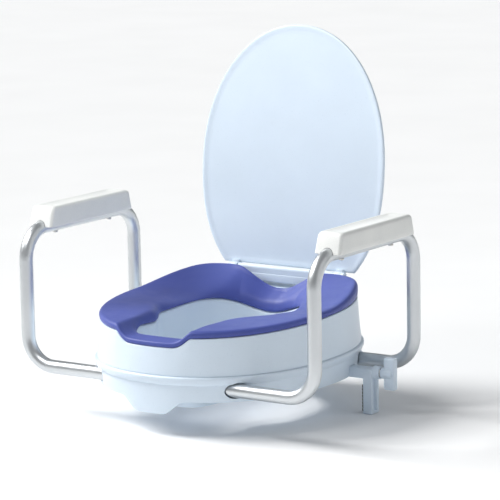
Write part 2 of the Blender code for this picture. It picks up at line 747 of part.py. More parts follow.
def make_assembly_screws():
    for side in ("right", "left"):
        for place, (x, y) in ASSEMBLY_SCREWS.items():
            screw(f"assembly_screw_{place}_{side}", (mirrored(side) * x, y, BASE_Z + 0.0014), 0.0040, 0.0020,
                  0.0019, 0.0200, "Z")


# ---------------------------------------------------------------- arms
def quarter(centre, start, end, steps=6):
    """Points of a quarter arc about centre, from centre + start to centre + end."""
    centre, start, end = Vector(centre), Vector(start), Vector(end)
    return [tuple(centre + start * math.cos(math.pi / 2 * k / steps) + end * math.sin(math.pi / 2 * k / steps))
            for k in range(steps + 1)]


def arm_path(extra=0.0):
    """Centre line of the right arm, from the tip of its front prong to the tip of its rear one."""
    r = BEND_R
    x, low, top = ARM_X, ARM_LOW_Z, ARM_TOP_Z
    front, rear = ARM_FRONT_Y, ARM_REAR_Y
    path = [(PRONG_FRONT_X - extra, front, low)]
    path += quarter((x - r, front, low + r), (0, 0, -r), (r, 0, 0))
    path += quarter((x, front + r, top - r), (0, -r, 0), (0, 0, r))
    path += quarter((x, rear - r, top - r), (0, 0, r), (0, r, 0))
    path += quarter((x - r, rear, low + r), (r, 0, 0), (0, 0, -r))
    path.append((PRONG_REAR_X - extra, rear, low))
    return path


def flip(points, side):
    return [(mirrored(side) * x, y, z) for x, y, z in points]


def make_arm(side):
    """Bent tube, moulded pad, the pad's two screws and a plug in the end of each prong."""
    m = mirrored(side)
    path = flip(arm_path(), side)
    arm = tube(f"arm_tube_{side}", path, TUBE_R, ALUMINIUM)
    hollow = tube(f"arm_hollow_{side}", flip(arm_path(0.010), side), TUBE_R - TUBE_WALL, None, CUTTERS)
    boolean(arm, hollow)
    pad = arm_pad(side)
    groove = tube(f"pad_groove_{side}", path, TUBE_R + 0.0005, None, CUTTERS)
    boolean(pad, groove)
    for place, y in zip(("front", "rear"), PAD_SCREW_Y):
        low = ARM_TOP_Z - TUBE_R
        through = rod(f"tube_hole_{place}_{side}", (m * ARM_X, y, ARM_TOP_Z), 0.0024, 0.040, "Z",
                      collection=CUTTERS, sides=14)
        boolean(arm, through)
        blind = rod(f"pad_hole_{place}_{side}", (m * ARM_X, y, ARM_TOP_Z + 0.009), 0.0024, 0.034, "Z",
                    collection=CUTTERS, sides=12)
        boolean(pad, blind)
        screw(f"arm_pad_screw_{place}_{side}", (m * ARM_X, y, low - GAP), 0.0045, 0.0028, 0.0019, 0.0350, "Z")
    for place, y, x in (("front", ARM_FRONT_Y, PRONG_FRONT_X), ("rear", ARM_REAR_Y, PRONG_REAR_X)):
        inner = (TUBE_R - TUBE_WALL) * 0.90
        plug = [(0.0, 0.012), (inner * 0.9, 0.012), (inner, 0.010), (inner, 0.0), (TUBE_R - 0.0002, 0.0),
                (TUBE_R - 0.0012, -0.0022), (0.0, -0.0022)]
        piece = turned(f"arm_end_plug_{place}_{side}", plug, (m * (x - GAP), y, ARM_LOW_Z), "X", RUBBER, 12)
        if m < 0:
            piece.matrix_world = Matrix.Translation((m * (x - GAP), y, ARM_LOW_Z)) @ Matrix.Rotation(
                -math.pi / 2, 4, "Y")
        shade(piece)
    shade(arm)


def arm_pad(side):
    """A long moulded block with rounded edges, whose ends lean in towards the top."""
    x = mirrored(side) * ARM_X

    def build(bm):
        bmesh.ops.create_cube(bm, size=1.0)
        for vert in bm.verts:
            rear, up = vert.co.y > 0, vert.co.z > 0
            lean = PAD_SLOPE if up else 0.0
            half = PAD_HALF - (0.0010 if up else 0.0)
            vert.co.x = x + math.copysign(half, vert.co.x)
            vert.co.y = PAD_REAR - lean * 0.6 if rear else PAD_FRONT + lean
            vert.co.z = PAD_TOP if up else PAD_BOTTOM
        bmesh.ops.bevel(bm, geom=[e for e in bm.edges if max(v.co.z for v in e.verts) > PAD_TOP - 0.001],
                        offset=0.0065, segments=3, profile=0.5, affect="EDGES")

    pad = add_object(f"arm_pad_{side}", mesh_from(f"arm_pad_{side}", build), CREAM)
    return shade(pad)


# ---------------------------------------------------------------- clamps
def make_clamp(side):
    """L bracket with its jaw pad, and the spindle, knob, nut and washer that draw it in."""
    m = mirrored(side)
    low_y, high_y = CLAMP_Y - BAR_HALF, CLAMP_Y + BAR_HALF
    bracket = box(f"clamp_bracket_{side}", (m * BAR_INNER_X, low_y, BAR_LOW), (m * LEG_OUT_X, high_y, BAR_HIGH),
                  WHITE)
    leg = box(f"leg_{side}", (m * LEG_IN_X, low_y + 0.0001, LEG_LOW),
              (m * (LEG_OUT_X - 0.0001), high_y - 0.0001, BAR_HIGH - 0.0010), collection=CUTTERS)
    boolean(bracket, leg, "UNION")
    bevel(leg, 0.0020, 2)
    boss = rod(f"bracket_boss_{side}", (m * (LEG_OUT_X + 0.0045), CLAMP_Y, CLAMP_AXIS_Z), 0.0105, 0.0130, "X",
               collection=CUTTERS, sides=24)
    boolean(bracket, boss, "UNION")
    rib = box(f"bracket_rib_{side}", (m * (LEG_OUT_X - 0.002), CLAMP_Y - 0.0020, LEG_LOW + 0.006),
              (m * (LEG_OUT_X + 0.0045), CLAMP_Y + 0.0020, CLAMP_AXIS_Z), collection=CUTTERS)
    boolean(bracket, rib, "UNION")
    bore = rod(f"bracket_bore_{side}", (m * 0.190, CLAMP_Y, CLAMP_AXIS_Z), SPINDLE_R + 0.0004, 0.140, "X",
               collection=CUTTERS, sides=20)
    boolean(bracket, bore)
    shade(bracket)
    jaw = box(f"clamp_jaw_pad_{side}", (m * (LEG_IN_X - 0.0028), low_y + 0.002, LEG_LOW + 0.004),
              (m * (LEG_IN_X - GAP), high_y - 0.002, BAR_LOW - 0.010), RUBBER)
    bevel(jaw, 0.0006, 1)

    def turned_x(name, profile, x, mat, steps):
        piece = turned(name, profile, (m * x, CLAMP_Y, CLAMP_AXIS_Z), "X", mat, steps)
        if m < 0:
            turn = Matrix.Rotation(-math.pi / 2, 4, "Y")
            piece.matrix_world = Matrix.Translation((m * x, CLAMP_Y, CLAMP_AXIS_Z)) @ turn
        return shade(piece)

    outer = KNOB_X + KNOB_DEEP - 0.006
    length = outer - SPINDLE_IN_X
    turned_x(f"clamp_spindle_{side}", [(0.0, length), (SPINDLE_R, length), (SPINDLE_R, 0.001),
                                       (SPINDLE_R - 0.001, 0.0), (0.0, 0.0)], SPINDLE_IN_X, STEEL, 12)
    nut = rod(f"clamp_nut_{side}", (m * (NUT_X + NUT_THICK / 2), CLAMP_Y, CLAMP_AXIS_Z), 0.0075, NUT_THICK, "X",
              STEEL, sides=6)
    nut_hole = rod(f"nut_hole_{side}", (m * (NUT_X + NUT_THICK / 2), CLAMP_Y, CLAMP_AXIS_Z), SPINDLE_R + 0.0003,
                   0.030, "X", collection=CUTTERS, sides=12)
    boolean(nut, nut_hole)
    face = LEG_OUT_X + 0.0110 + GAP
    washer = rod(f"clamp_washer_{side}", (m * (face + 0.0008), CLAMP_Y, CLAMP_AXIS_Z), 0.0085, 0.0014, "X",
                 STEEL, sides=16)
    washer_hole = rod(f"washer_hole_{side}", (m * face, CLAMP_Y, CLAMP_AXIS_Z), SPINDLE_R + 0.0003, 0.020, "X",
                      collection=CUTTERS, sides=12)
    boolean(washer, washer_hole)
    knob = rod(f"clamp_knob_{side}", (m * (face + 0.0020 + 0.0100), CLAMP_Y, CLAMP_AXIS_Z), 0.0090, 0.0200, "X",
               WHITE, sides=24)
    wing = box(f"knob_wing_{side}", (m * (KNOB_X + 0.0010), CLAMP_Y - 0.0058, CLAMP_AXIS_Z - KNOB_REACH),
               (m * (KNOB_X + KNOB_DEEP), CLAMP_Y + 0.0058, CLAMP_AXIS_Z + KNOB_REACH),
               collection=CUTTERS)
    bevel(wing, 0.0028, 2)
    boolean(knob, wing, "UNION")
    mouth = face - 0.005
    socket = rod(f"knob_socket_{side}", (m * (mouth + outer + GAP) / 2, CLAMP_Y, CLAMP_AXIS_Z),
                 SPINDLE_R + 0.0003, outer + GAP - mouth, "X", collection=CUTTERS, sides=12)
    boolean(knob, socket)
    shade(knob)


# ---------------------------------------------------------------- rubber pads
def make_pads():
    for side in ("right", "left"):
        m = mirrored(side)
        for place, (x, y, turn) in RIM_PADS.items():
            pad = box(f"rim_pad_{place}_{side}", (-0.019, -0.0075, 0.0), (0.019, 0.0075, BASE_Z - GAP), RUBBER)
            spin = Matrix.Rotation(math.radians(-turn * m), 4, "Z")
            pad.matrix_world = Matrix.Translation((m * x, y, 0.0)) @ spin
            bevel(pad, 0.0004, 1)
    inner = FRONT_LENGTH - WALL
    face = box("front_tab_pad", (-0.022, -inner + 0.0020, -0.021), (0.022, -inner + 0.0044, -0.002), RUBBER)
    bevel(face, 0.0006, 1)


def hang(name, location, *starts):
    """An empty on a joint's axis, with every part whose name begins with one of starts under it."""
    empty = bpy.data.objects.new(name, None)
    empty.location = location
    PARTS.objects.link(empty)
    bpy.context.view_layer.update()
    for part in PARTS.objects:
        if part.type == "MESH" and part.name.startswith(starts):
            part.parent = empty
            part.matrix_parent_inverse = empty.matrix_world.inverted()
    return empty


make_seat_shell()
make_base_ring()
make_cushion()
make_lid()
make_hinge()
make_assembly_screws()
make_pads()
for SIDE in ("right", "left"):
    make_arm(SIDE)
    make_clamp(SIDE)
    X = mirrored(SIDE)
    ARM_MIDDLE = (ARM_FRONT_Y + ARM_REAR_Y) / 2
    hang(f"arm_slide_{SIDE}", (X * ARM_X, ARM_MIDDLE, ARM_LOW_Z), f"arm_tube_{SIDE}", f"arm_pad_{SIDE}",
         f"arm_pad_screw_front_{SIDE}", f"arm_pad_screw_rear_{SIDE}", f"arm_end_plug_front_{SIDE}",
         f"arm_end_plug_rear_{SIDE}")
    hang(f"clamp_slide_{SIDE}", (X * LEG_OUT_X, CLAMP_Y, CLAMP_AXIS_Z), f"clamp_bracket_{SIDE}",
         f"clamp_jaw_pad_{SIDE}")
    hang(f"knob_turn_{SIDE}", (X * KNOB_X, CLAMP_Y, CLAMP_AXIS_Z), f"clamp_knob_{SIDE}",
         f"clamp_spindle_{SIDE}", f"clamp_washer_{SIDE}")
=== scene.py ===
"""The looks of the raised toilet seat: smooth mouldings, foam ring, bent tubes, clamps and their materials.

Metres, +Z up, +Y towards the lid's hinge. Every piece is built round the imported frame's nodes.
"""
import json
import math

import bmesh
import bpy
from mathutils import Matrix, Vector


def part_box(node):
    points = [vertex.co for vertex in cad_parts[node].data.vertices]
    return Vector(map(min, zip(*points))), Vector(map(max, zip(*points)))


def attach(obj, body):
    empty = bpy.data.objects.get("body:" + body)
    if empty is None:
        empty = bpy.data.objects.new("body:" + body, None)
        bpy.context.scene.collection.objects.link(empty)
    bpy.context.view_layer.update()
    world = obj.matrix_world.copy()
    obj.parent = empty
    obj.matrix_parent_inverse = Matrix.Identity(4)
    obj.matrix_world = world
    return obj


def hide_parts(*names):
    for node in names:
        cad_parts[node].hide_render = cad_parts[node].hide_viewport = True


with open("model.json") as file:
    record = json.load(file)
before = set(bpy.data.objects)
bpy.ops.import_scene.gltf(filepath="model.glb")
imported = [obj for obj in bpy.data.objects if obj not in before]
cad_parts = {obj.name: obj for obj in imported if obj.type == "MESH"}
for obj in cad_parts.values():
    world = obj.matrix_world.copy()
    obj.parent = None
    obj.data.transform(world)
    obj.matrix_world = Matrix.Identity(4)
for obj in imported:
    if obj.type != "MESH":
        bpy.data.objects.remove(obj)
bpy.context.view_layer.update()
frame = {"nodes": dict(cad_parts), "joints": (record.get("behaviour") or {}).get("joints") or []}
SIDES = (("right", 1), ("left", -1))

# ---------------------------------------------------------------- driving dimensions
HALF_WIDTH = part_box("seat_cushion")[1].x - 0.0006      # the seat's egg, without the bead
FRONT_LENGTH = -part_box("seat_cushion")[0].y - 0.0004
REAR_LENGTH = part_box("seat_shell")[1].y - 0.0050
FRONT_POWER = 2.19
REAR_POWER = 2.2

HOLE_HALF_WIDTH = 0.1000
HOLE_FRONT = 0.1900
HOLE_REAR = 0.1130
HOLE_FRONT_POWER = 6.0
HOLE_REAR_POWER = 2.5
HOLE_NECK = 0.70                       # width left in the front slot, as a part of the full width
HOLE_NECK_START = -0.045
HOLE_NECK_END = -0.115

WALL = 0.003
BASE_Z = 0.002                         # under side of the floor, above the bowl's rim
LIP_Z = 0.0008
FLOOR_TOP = 0.005
BEAD_Z = 0.0400
BEAD_SLOPE = 0.012
JOIN_Z = 0.0445
DECK_Z = 0.1102
DECK_SLOPE = 0.047
DECK_DISH = 0.0115
DECK_DISH_REACH = 0.48                 # how far in the dish reaches its depth, in half widths of the seat
DECK_CORNER = 0.002
SKIRT_MIDDLE_Z = 0.066
SKIRT_TOP_Z = 0.090
SKIRT_BELOW_DECK = 0.008
SPIGOT_Z = 0.0575                      # top of the lower moulding, at Y = 0, inside the upper one
FUNNEL_Z = 0.060
FUNNEL_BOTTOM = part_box("seat_shell")[0].z
SCREW_PLACES = {"front": (0.140, -0.090), "middle": (0.155, 0.020), "rear": (0.070, 0.165)}
COUNTERBORE_R = 0.0045

FRONT_DIP = 0.0152
FRONT_DIP_HALF = 0.040
FRONT_DIP_SHOULDER = 0.028
FRONT_DIP_START = 0.135
FRONT_DIP_RAMP = 0.035
REAR_DIP = 0.0265
REAR_DIP_SHOULDER = 0.105
REAR_DIP_END = 0.112
REAR_DIP_RAMP = 0.036

CUSHION_Z = 0.1215
CUSHION_SLOPE = 0.045
CUSHION_RISE = 0.0175
CUSHION_RISE_LENGTH = 0.165
CUSHION_DISH = 0.0220
CUSHION_DISH_START = -0.110
CUSHION_DISH_LENGTH = 0.190
CUSHION_FRONT_DIP = 0.0180
CUSHION_REAR_DIP = 0.0310
CUSHION_DIP_HALF = 0.005
CUSHION_DIP_SHOULDER = 0.080
CUSHION_DIP_LENGTH = 0.060
WING_REAR = 0.1560
NOTCH_REAR = 0.1480
NOTCH_HALF = 0.045
NOTCH_SHOULDER = 0.060
WING_ROUND = 0.030
ROUND_WIDTH = 0.045                    # where the foam is narrower, its outer roll bulges less
DISH_WIDTH = 0.055                     # where the foam is narrower, it is dished less
GAP = 0.0003

TAB_DEPTH = LIP_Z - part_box("base_ring")[0].z
TAB_HALF = 0.0225
TAB_FLANK = 0.037

AXIS = Vector(next(j["pos_m"] for j in frame["joints"] if j["name"] == "lid_hinge"))
LID_LEAN = math.radians(6.6)
LID_HALF_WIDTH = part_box("lid")[1].x
LID_WIDEST = 0.1738
LID_ABOVE = 0.2306
LID_BELOW = 0.2201
LID_ABOVE_POWER = 2.06
LID_BELOW_POWER = 2.31
LID_START = 0.0055
LID_OFFSET = 0.0062
LID_THICK = 0.0070
LID_BOW = 0.0069
LID_RECESS = 0.0009
LUG_X = 0.1020
LUG_HALF = 0.0115
CHEEK = 0.0050
CHEEK_R = 0.0055
EYE_R = 0.0027
EYE_LENGTH = 0.040
PIN_R = 0.0024
HINGE_BAR_TOP = 0.1330                 # the bar's flat top, below its barrel

TUBE_R = 0.011
TUBE_WALL = 0.0016
ARM_X = 0.2725
BEND_R = 0.048
ARM_LOW, ARM_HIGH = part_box("arm_tube_right")
ARM_FRONT_Y = ARM_LOW.y + TUBE_R
ARM_REAR_Y = ARM_HIGH.y - TUBE_R
ARM_LOW_Z = ARM_LOW.z + TUBE_R
ARM_TOP_Z = ARM_HIGH.z - TUBE_R
PRONG_FRONT_X = ARM_LOW.x
PRONG_REAR_X = 0.095
SLEEVE_R = TUBE_R + 0.0036
SLEEVE_BORE_R = TUBE_R + 0.0004
SLEEVE_FRONT_END = 0.1085
SLEEVE_REAR_END = 0.1700
MOUTH_R = 0.0130
MOUTH_FRONT_START = 0.1030
MOUTH_REAR_START = 0.1680
CUT_END = 0.250                        # past the skirt, so a cut goes right through it
PAD_SCREW_HOLE_R = 0.0024

CLAMP_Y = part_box("clamp_bracket_right")[0].y + 0.0120
CLAMP_AXIS_Z = 0.0115
CLAMP_LEG_THICK = 0.0165
CLAMP_BOSS_REACH = 0.0110              # how far the boss stands out of the leg
CLAMP_BAR_LOW = 0.0012
CLAMP_BAR_HIGH = 0.0172
CLAMP_SLOT_START = 0.1320
CLAMP_SLOT_END = 0.240
CLAMP_SLOT_HALF = 0.0126
CLAMP_SLOT_LOW = -0.010
CLAMP_SLOT_HIGH = 0.0180
KNOB_DISH_R = 0.0470                   # radius of the hollow in the knob's outer face


# ---------------------------------------------------------------- node material kit
class Paint:
    """A procedural material, written as a chain of nodes."""

    def __init__(self, name):
        self.material = bpy.data.materials.new(name)
        self.material.use_nodes = True
        self.tree = self.material.node_tree
        self.shader = self.tree.nodes["Principled BSDF"]
        self.place = self.add("ShaderNodeTexCoord").outputs["Object"]

    def add(self, kind, **values):
        node = self.tree.nodes.new(kind)
        for key, value in values.items():
            setattr(node, key, value)
        return node

    def link(self, source, target):
        self.tree.links.new(source, target)

    def set(self, **values):
        for key, value in values.items():
            self.shader.inputs[key.replace("_", " ")].default_value = value

    def stretched(self, scale):
        """The object's coordinates, scaled differently along each axis."""
        mapping = self.add("ShaderNodeMapping")
        mapping.inputs["Scale"].default_value = scale
        self.link(self.place, mapping.inputs["Vector"])
        return mapping.outputs["Vector"]

    def noise(self, scale, detail=3.0, rough=0.5, place=None):
        """Soft noise about 0.5, place being the coordinates it follows."""
        node = self.add("ShaderNodeTexNoise")
        node.inputs["Scale"].default_value = scale
        node.inputs["Detail"].default_value = detail
        node.inputs["Roughness"].default_value = rough
        self.link(place or self.place, node.inputs["Vector"])
        return node.outputs["Fac"]

    def cells(self, scale, feature="F1"):
        """Distance inside each cell of a random pattern, from its seed or its edge."""
        node = self.add("ShaderNodeTexVoronoi", feature=feature)
        node.inputs["Scale"].default_value = scale
        self.link(self.place, node.inputs["Vector"])
        return node.outputs["Distance"]

    def ramp(self, value, stops):
        """value mapped through (position, colour) stops."""
        node = self.add("ShaderNodeValToRGB")
        elements = node.color_ramp.elements
        while len(elements) < len(stops):
            elements.new(0.5)
        for element, (position, colour) in zip(elements, stops):
            element.position = position
            element.color = (*colour, 1.0)
        self.link(value, node.inputs["Fac"])
        return node.outputs["Color"]

    def span(self, value, low, high):
        """value from 0.3..0.7 mapped to low..high."""
        node = self.add("ShaderNodeMapRange")
        node.inputs["From Min"].default_value = 0.3
        node.inputs["From Max"].default_value = 0.7
        node.inputs["To Min"].default_value = low
        node.inputs["To Max"].default_value = high
        self.link(value, node.inputs["Value"])
        return node.outputs["Result"]

    def math(self, operation, first, second):
        node = self.add("ShaderNodeMath", operation=operation)
        for socket, value in zip(node.inputs, (first, second)):
            if isinstance(value, (int, float)):
                socket.default_value = value
            else:
                self.link(value, socket)
        return node.outputs["Value"]

    def multiply(self, base, value):
        """A colour darkened where value is low."""
        node = self.add("ShaderNodeMix", data_type="RGBA", blend_type="MULTIPLY")
        node.inputs["Factor"].default_value = 1.0
        self.link(base, node.inputs[6])
        self.link(value, node.inputs[7])
        return node.outputs[2]

    def bump(self, height, distance, strength, below=None):
        """A normal from height, distance in metres, laid over the bump below it."""
        node = self.add("ShaderNodeBump")
        node.inputs["Strength"].default_value = strength
        node.inputs["Distance"].default_value = distance
        self.link(height, node.inputs["Height"])
        if below:
            self.link(below, node.inputs["Normal"])
        return node.outputs["Normal"]


def white_moulding():
    """Satin injection-moulded plastic: faint flow marks, orange peel, hair-fine rubbed scratches."""
    p = Paint("white_polypropylene")
    tint = (0.69, 0.79, 0.895)
    low = tuple(c * 0.955 for c in tint)
    flow = p.noise(9.0, 4.0, 0.55)
    specks = p.noise(420.0, 2.0)
    base = p.ramp(flow, [(0.30, low), (0.70, tint)])
    speck = p.ramp(specks, [(0.26, (0.93, 0.94, 0.95)), (0.36, (1.0, 1.0, 1.0))])
    p.link(p.multiply(base, speck), p.shader.inputs["Base Color"])
    scratch = p.noise(60.0, 6.0, 0.7, p.stretched((1.0, 9.0, 1.6)))
    rough = p.math("ADD", p.span(scratch, 0.30, 0.37), p.span(p.noise(28.0, 3.0), -0.02, 0.03))
    p.link(rough, p.shader.inputs["Roughness"])
    peel = p.bump(p.noise(230.0, 2.0), 0.00006, 0.5)
    p.link(p.bump(p.noise(14.0, 2.0), 0.0006, 0.10, peel), p.shader.inputs["Normal"])
    p.set(IOR=1.49, Specular_IOR_Level=0.5, Subsurface_Weight=0.06, Subsurface_Scale=0.003)
    p.shader.inputs["Subsurface Radius"].default_value = (0.9, 1.0, 1.1)
    return p.material


def blue_foam():
    """Closed-cell foam with a moulded skin: soft sheen, fine cells and slight, cloudy changes of tone."""
    p = Paint("blue_skinned_foam")
    tone = p.noise(11.0, 4.0, 0.5)
    base = p.ramp(tone, [(0.30, (0.050, 0.074, 0.310)), (0.70, (0.062, 0.088, 0.365))])
    cells = p.cells(1100.0)
    pits = p.ramp(cells, [(0.05, (0.90, 0.90, 0.92)), (0.32, (1.0, 1.0, 1.0))])
    p.link(p.multiply(base, pits), p.shader.inputs["Base Color"])
    p.link(p.span(p.noise(45.0, 4.0), 0.44, 0.54), p.shader.inputs["Roughness"])
    fine = p.bump(cells, 0.00012, 0.35)
    soft = p.bump(p.noise(300.0, 3.0), 0.00010, 0.30, fine)
    p.link(p.bump(p.noise(22.0, 3.0), 0.0008, 0.12, soft), p.shader.inputs["Normal"])
    p.set(IOR=1.45, Sheen_Weight=0.14, Sheen_Roughness=0.45)
    p.shader.inputs["Sheen Tint"].default_value = (0.62, 0.66, 1.0, 1.0)
    return p.material


def pad_moulding():
    """Warm white soft-touch plastic with a fine leather-like grain."""
    p = Paint("grained_pad_plastic")
    base = p.ramp(p.noise(14.0, 3.0), [(0.30, (0.76, 0.775, 0.765)), (0.70, (0.83, 0.84, 0.82))])
    grain = p.cells(520.0, feature="DISTANCE_TO_EDGE")
    valley = p.ramp(grain, [(0.0, (0.93, 0.93, 0.93)), (0.12, (1.0, 1.0, 1.0))])
    p.link(p.multiply(base, valley), p.shader.inputs["Base Color"])
    p.link(p.span(p.noise(60.0, 4.0), 0.40, 0.52), p.shader.inputs["Roughness"])
    pebble = p.bump(p.ramp(grain, [(0.0, (0.0,) * 3), (0.16, (1.0,) * 3)]), 0.00007, 0.45)
    p.link(p.bump(p.noise(18.0, 2.0), 0.0006, 0.10, pebble), p.shader.inputs["Normal"])
    p.set(IOR=1.48)
    return p.material


def anodised_tube():
    """Satin anodised aluminium: even bloom, fine drawn grain and a few bright rubs."""
    p = Paint("satin_anodised_aluminium")
    bloom = p.noise(16.0, 5.0, 0.6)
    tone = p.ramp(bloom, [(0.25, (0.61, 0.635, 0.655)), (0.75, (0.67, 0.69, 0.705))])
    p.link(tone, p.shader.inputs["Base Color"])
    grain = p.noise(900.0, 3.0, 0.6)
    rub = p.noise(38.0, 6.0, 0.7)
    p.link(p.math("ADD", p.span(grain, 0.34, 0.38), p.span(rub, -0.02, 0.02)), p.shader.inputs["Roughness"])
    p.link(p.bump(grain, 0.00003, 0.4), p.shader.inputs["Normal"])
    p.set(Metallic=1.0)
    return p.material


def zinc_steel(name="zinc_plated_steel", thread=False):
    """Bright zinc plate: mottled crystals with a faint blue and straw tint, and a thread where one is cut."""
    p = Paint(name)
    tint = p.noise(120.0, 4.0, 0.6)
    stops = [(0.25, (0.52, 0.55, 0.60)), (0.5, (0.64, 0.64, 0.63)), (0.75, (0.70, 0.67, 0.58))]
    p.link(p.ramp(tint, stops), p.shader.inputs["Base Color"])
    p.link(p.span(p.noise(260.0, 4.0), 0.22, 0.36), p.shader.inputs["Roughness"])
    crystals = p.bump(p.cells(700.0), 0.00004, 0.4)
    if thread:
        wave = p.add("ShaderNodeTexWave", wave_type="BANDS", bands_direction="X", wave_profile="TRI")
        wave.inputs["Scale"].default_value = 20.0
        wave.inputs["Distortion"].default_value = 0.0
        p.link(p.place, wave.inputs["Vector"])
        crystals = p.bump(wave.outputs["Fac"], 0.0008, 0.9, crystals)
    p.link(crystals, p.shader.inputs["Normal"])
    p.set(Metallic=1.0)
    return p.material


def grey_rubber():
    """Dark moulded rubber with a dusty bloom."""
    p = Paint("dark_grey_rubber")
    dust = p.noise(85.0, 5.0, 0.65)
    tone = p.ramp(dust, [(0.30, (0.055, 0.056, 0.060)), (0.72, (0.13, 0.13, 0.135))])
    p.link(tone, p.shader.inputs["Base Color"])
    p.link(p.span(dust, 0.68, 0.86), p.shader.inputs["Roughness"])
    p.link(p.bump(p.noise(640.0, 3.0), 0.00010, 0.5), p.shader.inputs["Normal"])
    return p.material


WHITE = white_moulding()
BLUE = blue_foam()
CREAM = pad_moulding()
ALUMINIUM = anodised_tube()
STEEL = zinc_steel()
THREAD = zinc_steel("zinc_plated_thread", thread=True)
RUBBER = grey_rubber()


# ---------------------------------------------------------------- mesh kit
def smooth(value):
    """Ease from 0 to 1 as value runs from 0 to 1."""
    t = min(max(value, 0.0), 1.0)
    return t * t * (3.0 - 2.0 * t)


def mesh_object(name, build):
    """An object whose mesh is filled in by build(bmesh), with its faces turned outward."""
    bm = bmesh.new()
    build(bm)
    bmesh.ops.recalc_face_normals(bm, faces=bm.faces)
    mesh = bpy.data.meshes.new(name)
    bm.to_mesh(mesh)
    bm.free()
    made = bpy.data.objects.new(name, mesh)
    bpy.context.scene.collection.objects.link(made)
    return made


def applied(obj):
    """obj with its modifiers worked into its mesh."""
    view = bpy.context.evaluated_depsgraph_get()
    mesh = bpy.data.meshes.new_from_object(obj.evaluated_get(view), depsgraph=view)
    obj.modifiers.clear()
    obj.data = mesh
    return obj


def combine(target, tool, operation="DIFFERENCE"):
    """Cuts tool out of target, or joins it on with UNION, and removes the tool."""
    change = target.modifiers.new(operation.title(), "BOOLEAN")
    change.operation = operation
    change.solver = "EXACT"
    change.object = tool
    applied(target)
    bpy.data.objects.remove(tool, do_unlink=True)


def rounded(obj, width, segments=3, angle=35):
    """obj with every edge sharper than angle rounded over."""
    edge = obj.modifiers.new("Round", "BEVEL")
    edge.width = width
    edge.segments = segments
    edge.limit_method = "ANGLE"
    edge.angle_limit = math.radians(angle)
    return applied(obj)


def subdivided(obj):
    """obj after one step of subdivision."""
    smoother = obj.modifiers.new("Smooth", "SUBSURF")
    smoother.levels = 1
    smoother.render_levels = 1
    return applied(obj)


def finish_piece(obj, material, body, nodes, angle=32):
    """Gives obj its shading, material and slot, hides the CAD nodes it stands for and hangs it on a body."""
    obj.data.materials.clear()
    obj.data.materials.append(material)
    obj.data.shade_smooth()
    obj.data.set_sharp_from_angle(angle=math.radians(angle))
    if nodes:
        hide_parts(*nodes)
    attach(obj, body)


def block(name, low, high):
    """A plain box between two corners, as a start or a tool for other shapes."""
    low, high = Vector(low), Vector(high)

    def build(bm):
        bmesh.ops.create_cube(bm, size=1.0)
        bmesh.ops.transform(bm, matrix=Matrix.Diagonal((*(high - low), 1.0)), verts=bm.verts)
        bmesh.ops.translate(bm, vec=(high + low) / 2, verts=bm.verts)

    return mesh_object(name, build)


TURN = {"X": Matrix.Rotation(math.pi / 2, 4, "Y"), "Y": Matrix.Rotation(-math.pi / 2, 4, "X"), "Z": Matrix()}


def rod(name, centre, radius, length, axis="Z", sides=48):
    """A round bar about centre, as a start or a tool for other shapes."""

    def build(bm):
        bmesh.ops.create_cone(bm, cap_ends=True, segments=sides, radius1=radius, radius2=radius,
                              depth=length)
        bmesh.ops.transform(bm, matrix=Matrix.Translation(centre) @ TURN[axis], verts=bm.verts)

    return mesh_object(name, build)


def turned(name, profile, place, sides=40):
    """A closed solid of revolution from (radius, height) pairs that start and end on the axis."""

    def build(bm):
        rings = []
        for radius, height in profile:
            if radius == 0:
                rings.append([bm.verts.new(place @ Vector((0, 0, height)))])
                continue
            angles = [2 * math.pi * k / sides for k in range(sides)]
            ring = [place @ Vector((radius * math.cos(a), radius * math.sin(a), height)) for a in angles]
            rings.append([bm.verts.new(point) for point in ring])
        for first, second in zip(rings, rings[1:]):
            bridge(bm, first, second)

    return mesh_object(name, build)


def bridge(bm, first, second):
    """Faces between two rings, either of which may be a single point."""
    for i in range(max(len(first), len(second))):
        corners = [first[i % len(first)], first[(i + 1) % len(first)]]
        corners += [second[(i + 1) % len(second)], second[i % len(second)]]
        kept = list(dict.fromkeys(corners))
        bm.faces.new(kept)


def bar_along(name, path, radius):
    """A round bar that follows a path, as a mesh."""
    curve = bpy.data.curves.new(name, "CURVE")
    curve.dimensions = "3D"
    curve.bevel_depth = radius
    curve.bevel_resolution = 8
    curve.use_fill_caps = True
    spline = curve.splines.new("POLY")
    spline.points.add(len(path) - 1)
    for point, where in zip(spline.points, path):
        point.co = (*where, 1.0)
    holder = bpy.data.objects.new(name + "_path", curve)
    bpy.context.scene.collection.objects.link(holder)
    view = bpy.context.evaluated_depsgraph_get()
    mesh = bpy.data.meshes.new_from_object(holder.evaluated_get(view))
    bpy.data.objects.remove(holder, do_unlink=True)

    def build(bm):
        bm.from_mesh(mesh)
        bmesh.ops.remove_doubles(bm, verts=bm.verts, dist=0.00001)

    return mesh_object(name, build)


# ---------------------------------------------------------------- outlines and heights of the seat
def from_centre(turn, outside):
    """The point in the direction turn where outside(x, y) goes from negative to positive."""
    c, s = math.cos(turn), math.sin(turn)
    near, far = 0.0, 0.4
    for _ in range(24):
        middle = (near + far) / 2
        if outside(middle * c, middle * s) > 0:
            far = middle
        else:
            near = middle
    return near * c, near * s


def seat_outside(x, y, grow=0.0):
    """Negative inside the seat's egg, grown by grow, and about a distance close to its edge."""
    power, reach = (FRONT_POWER, FRONT_LENGTH) if y < 0 else (REAR_POWER, REAR_LENGTH)
    norm = ((abs(x) / (HALF_WIDTH + grow)) ** power + (abs(y) / (reach + grow)) ** power) ** (1 / power)
    return (norm - 1) * HALF_WIDTH


def seat_outline(turn, grow=0.0):
    return from_centre(turn, lambda x, y: seat_outside(x, y, grow))


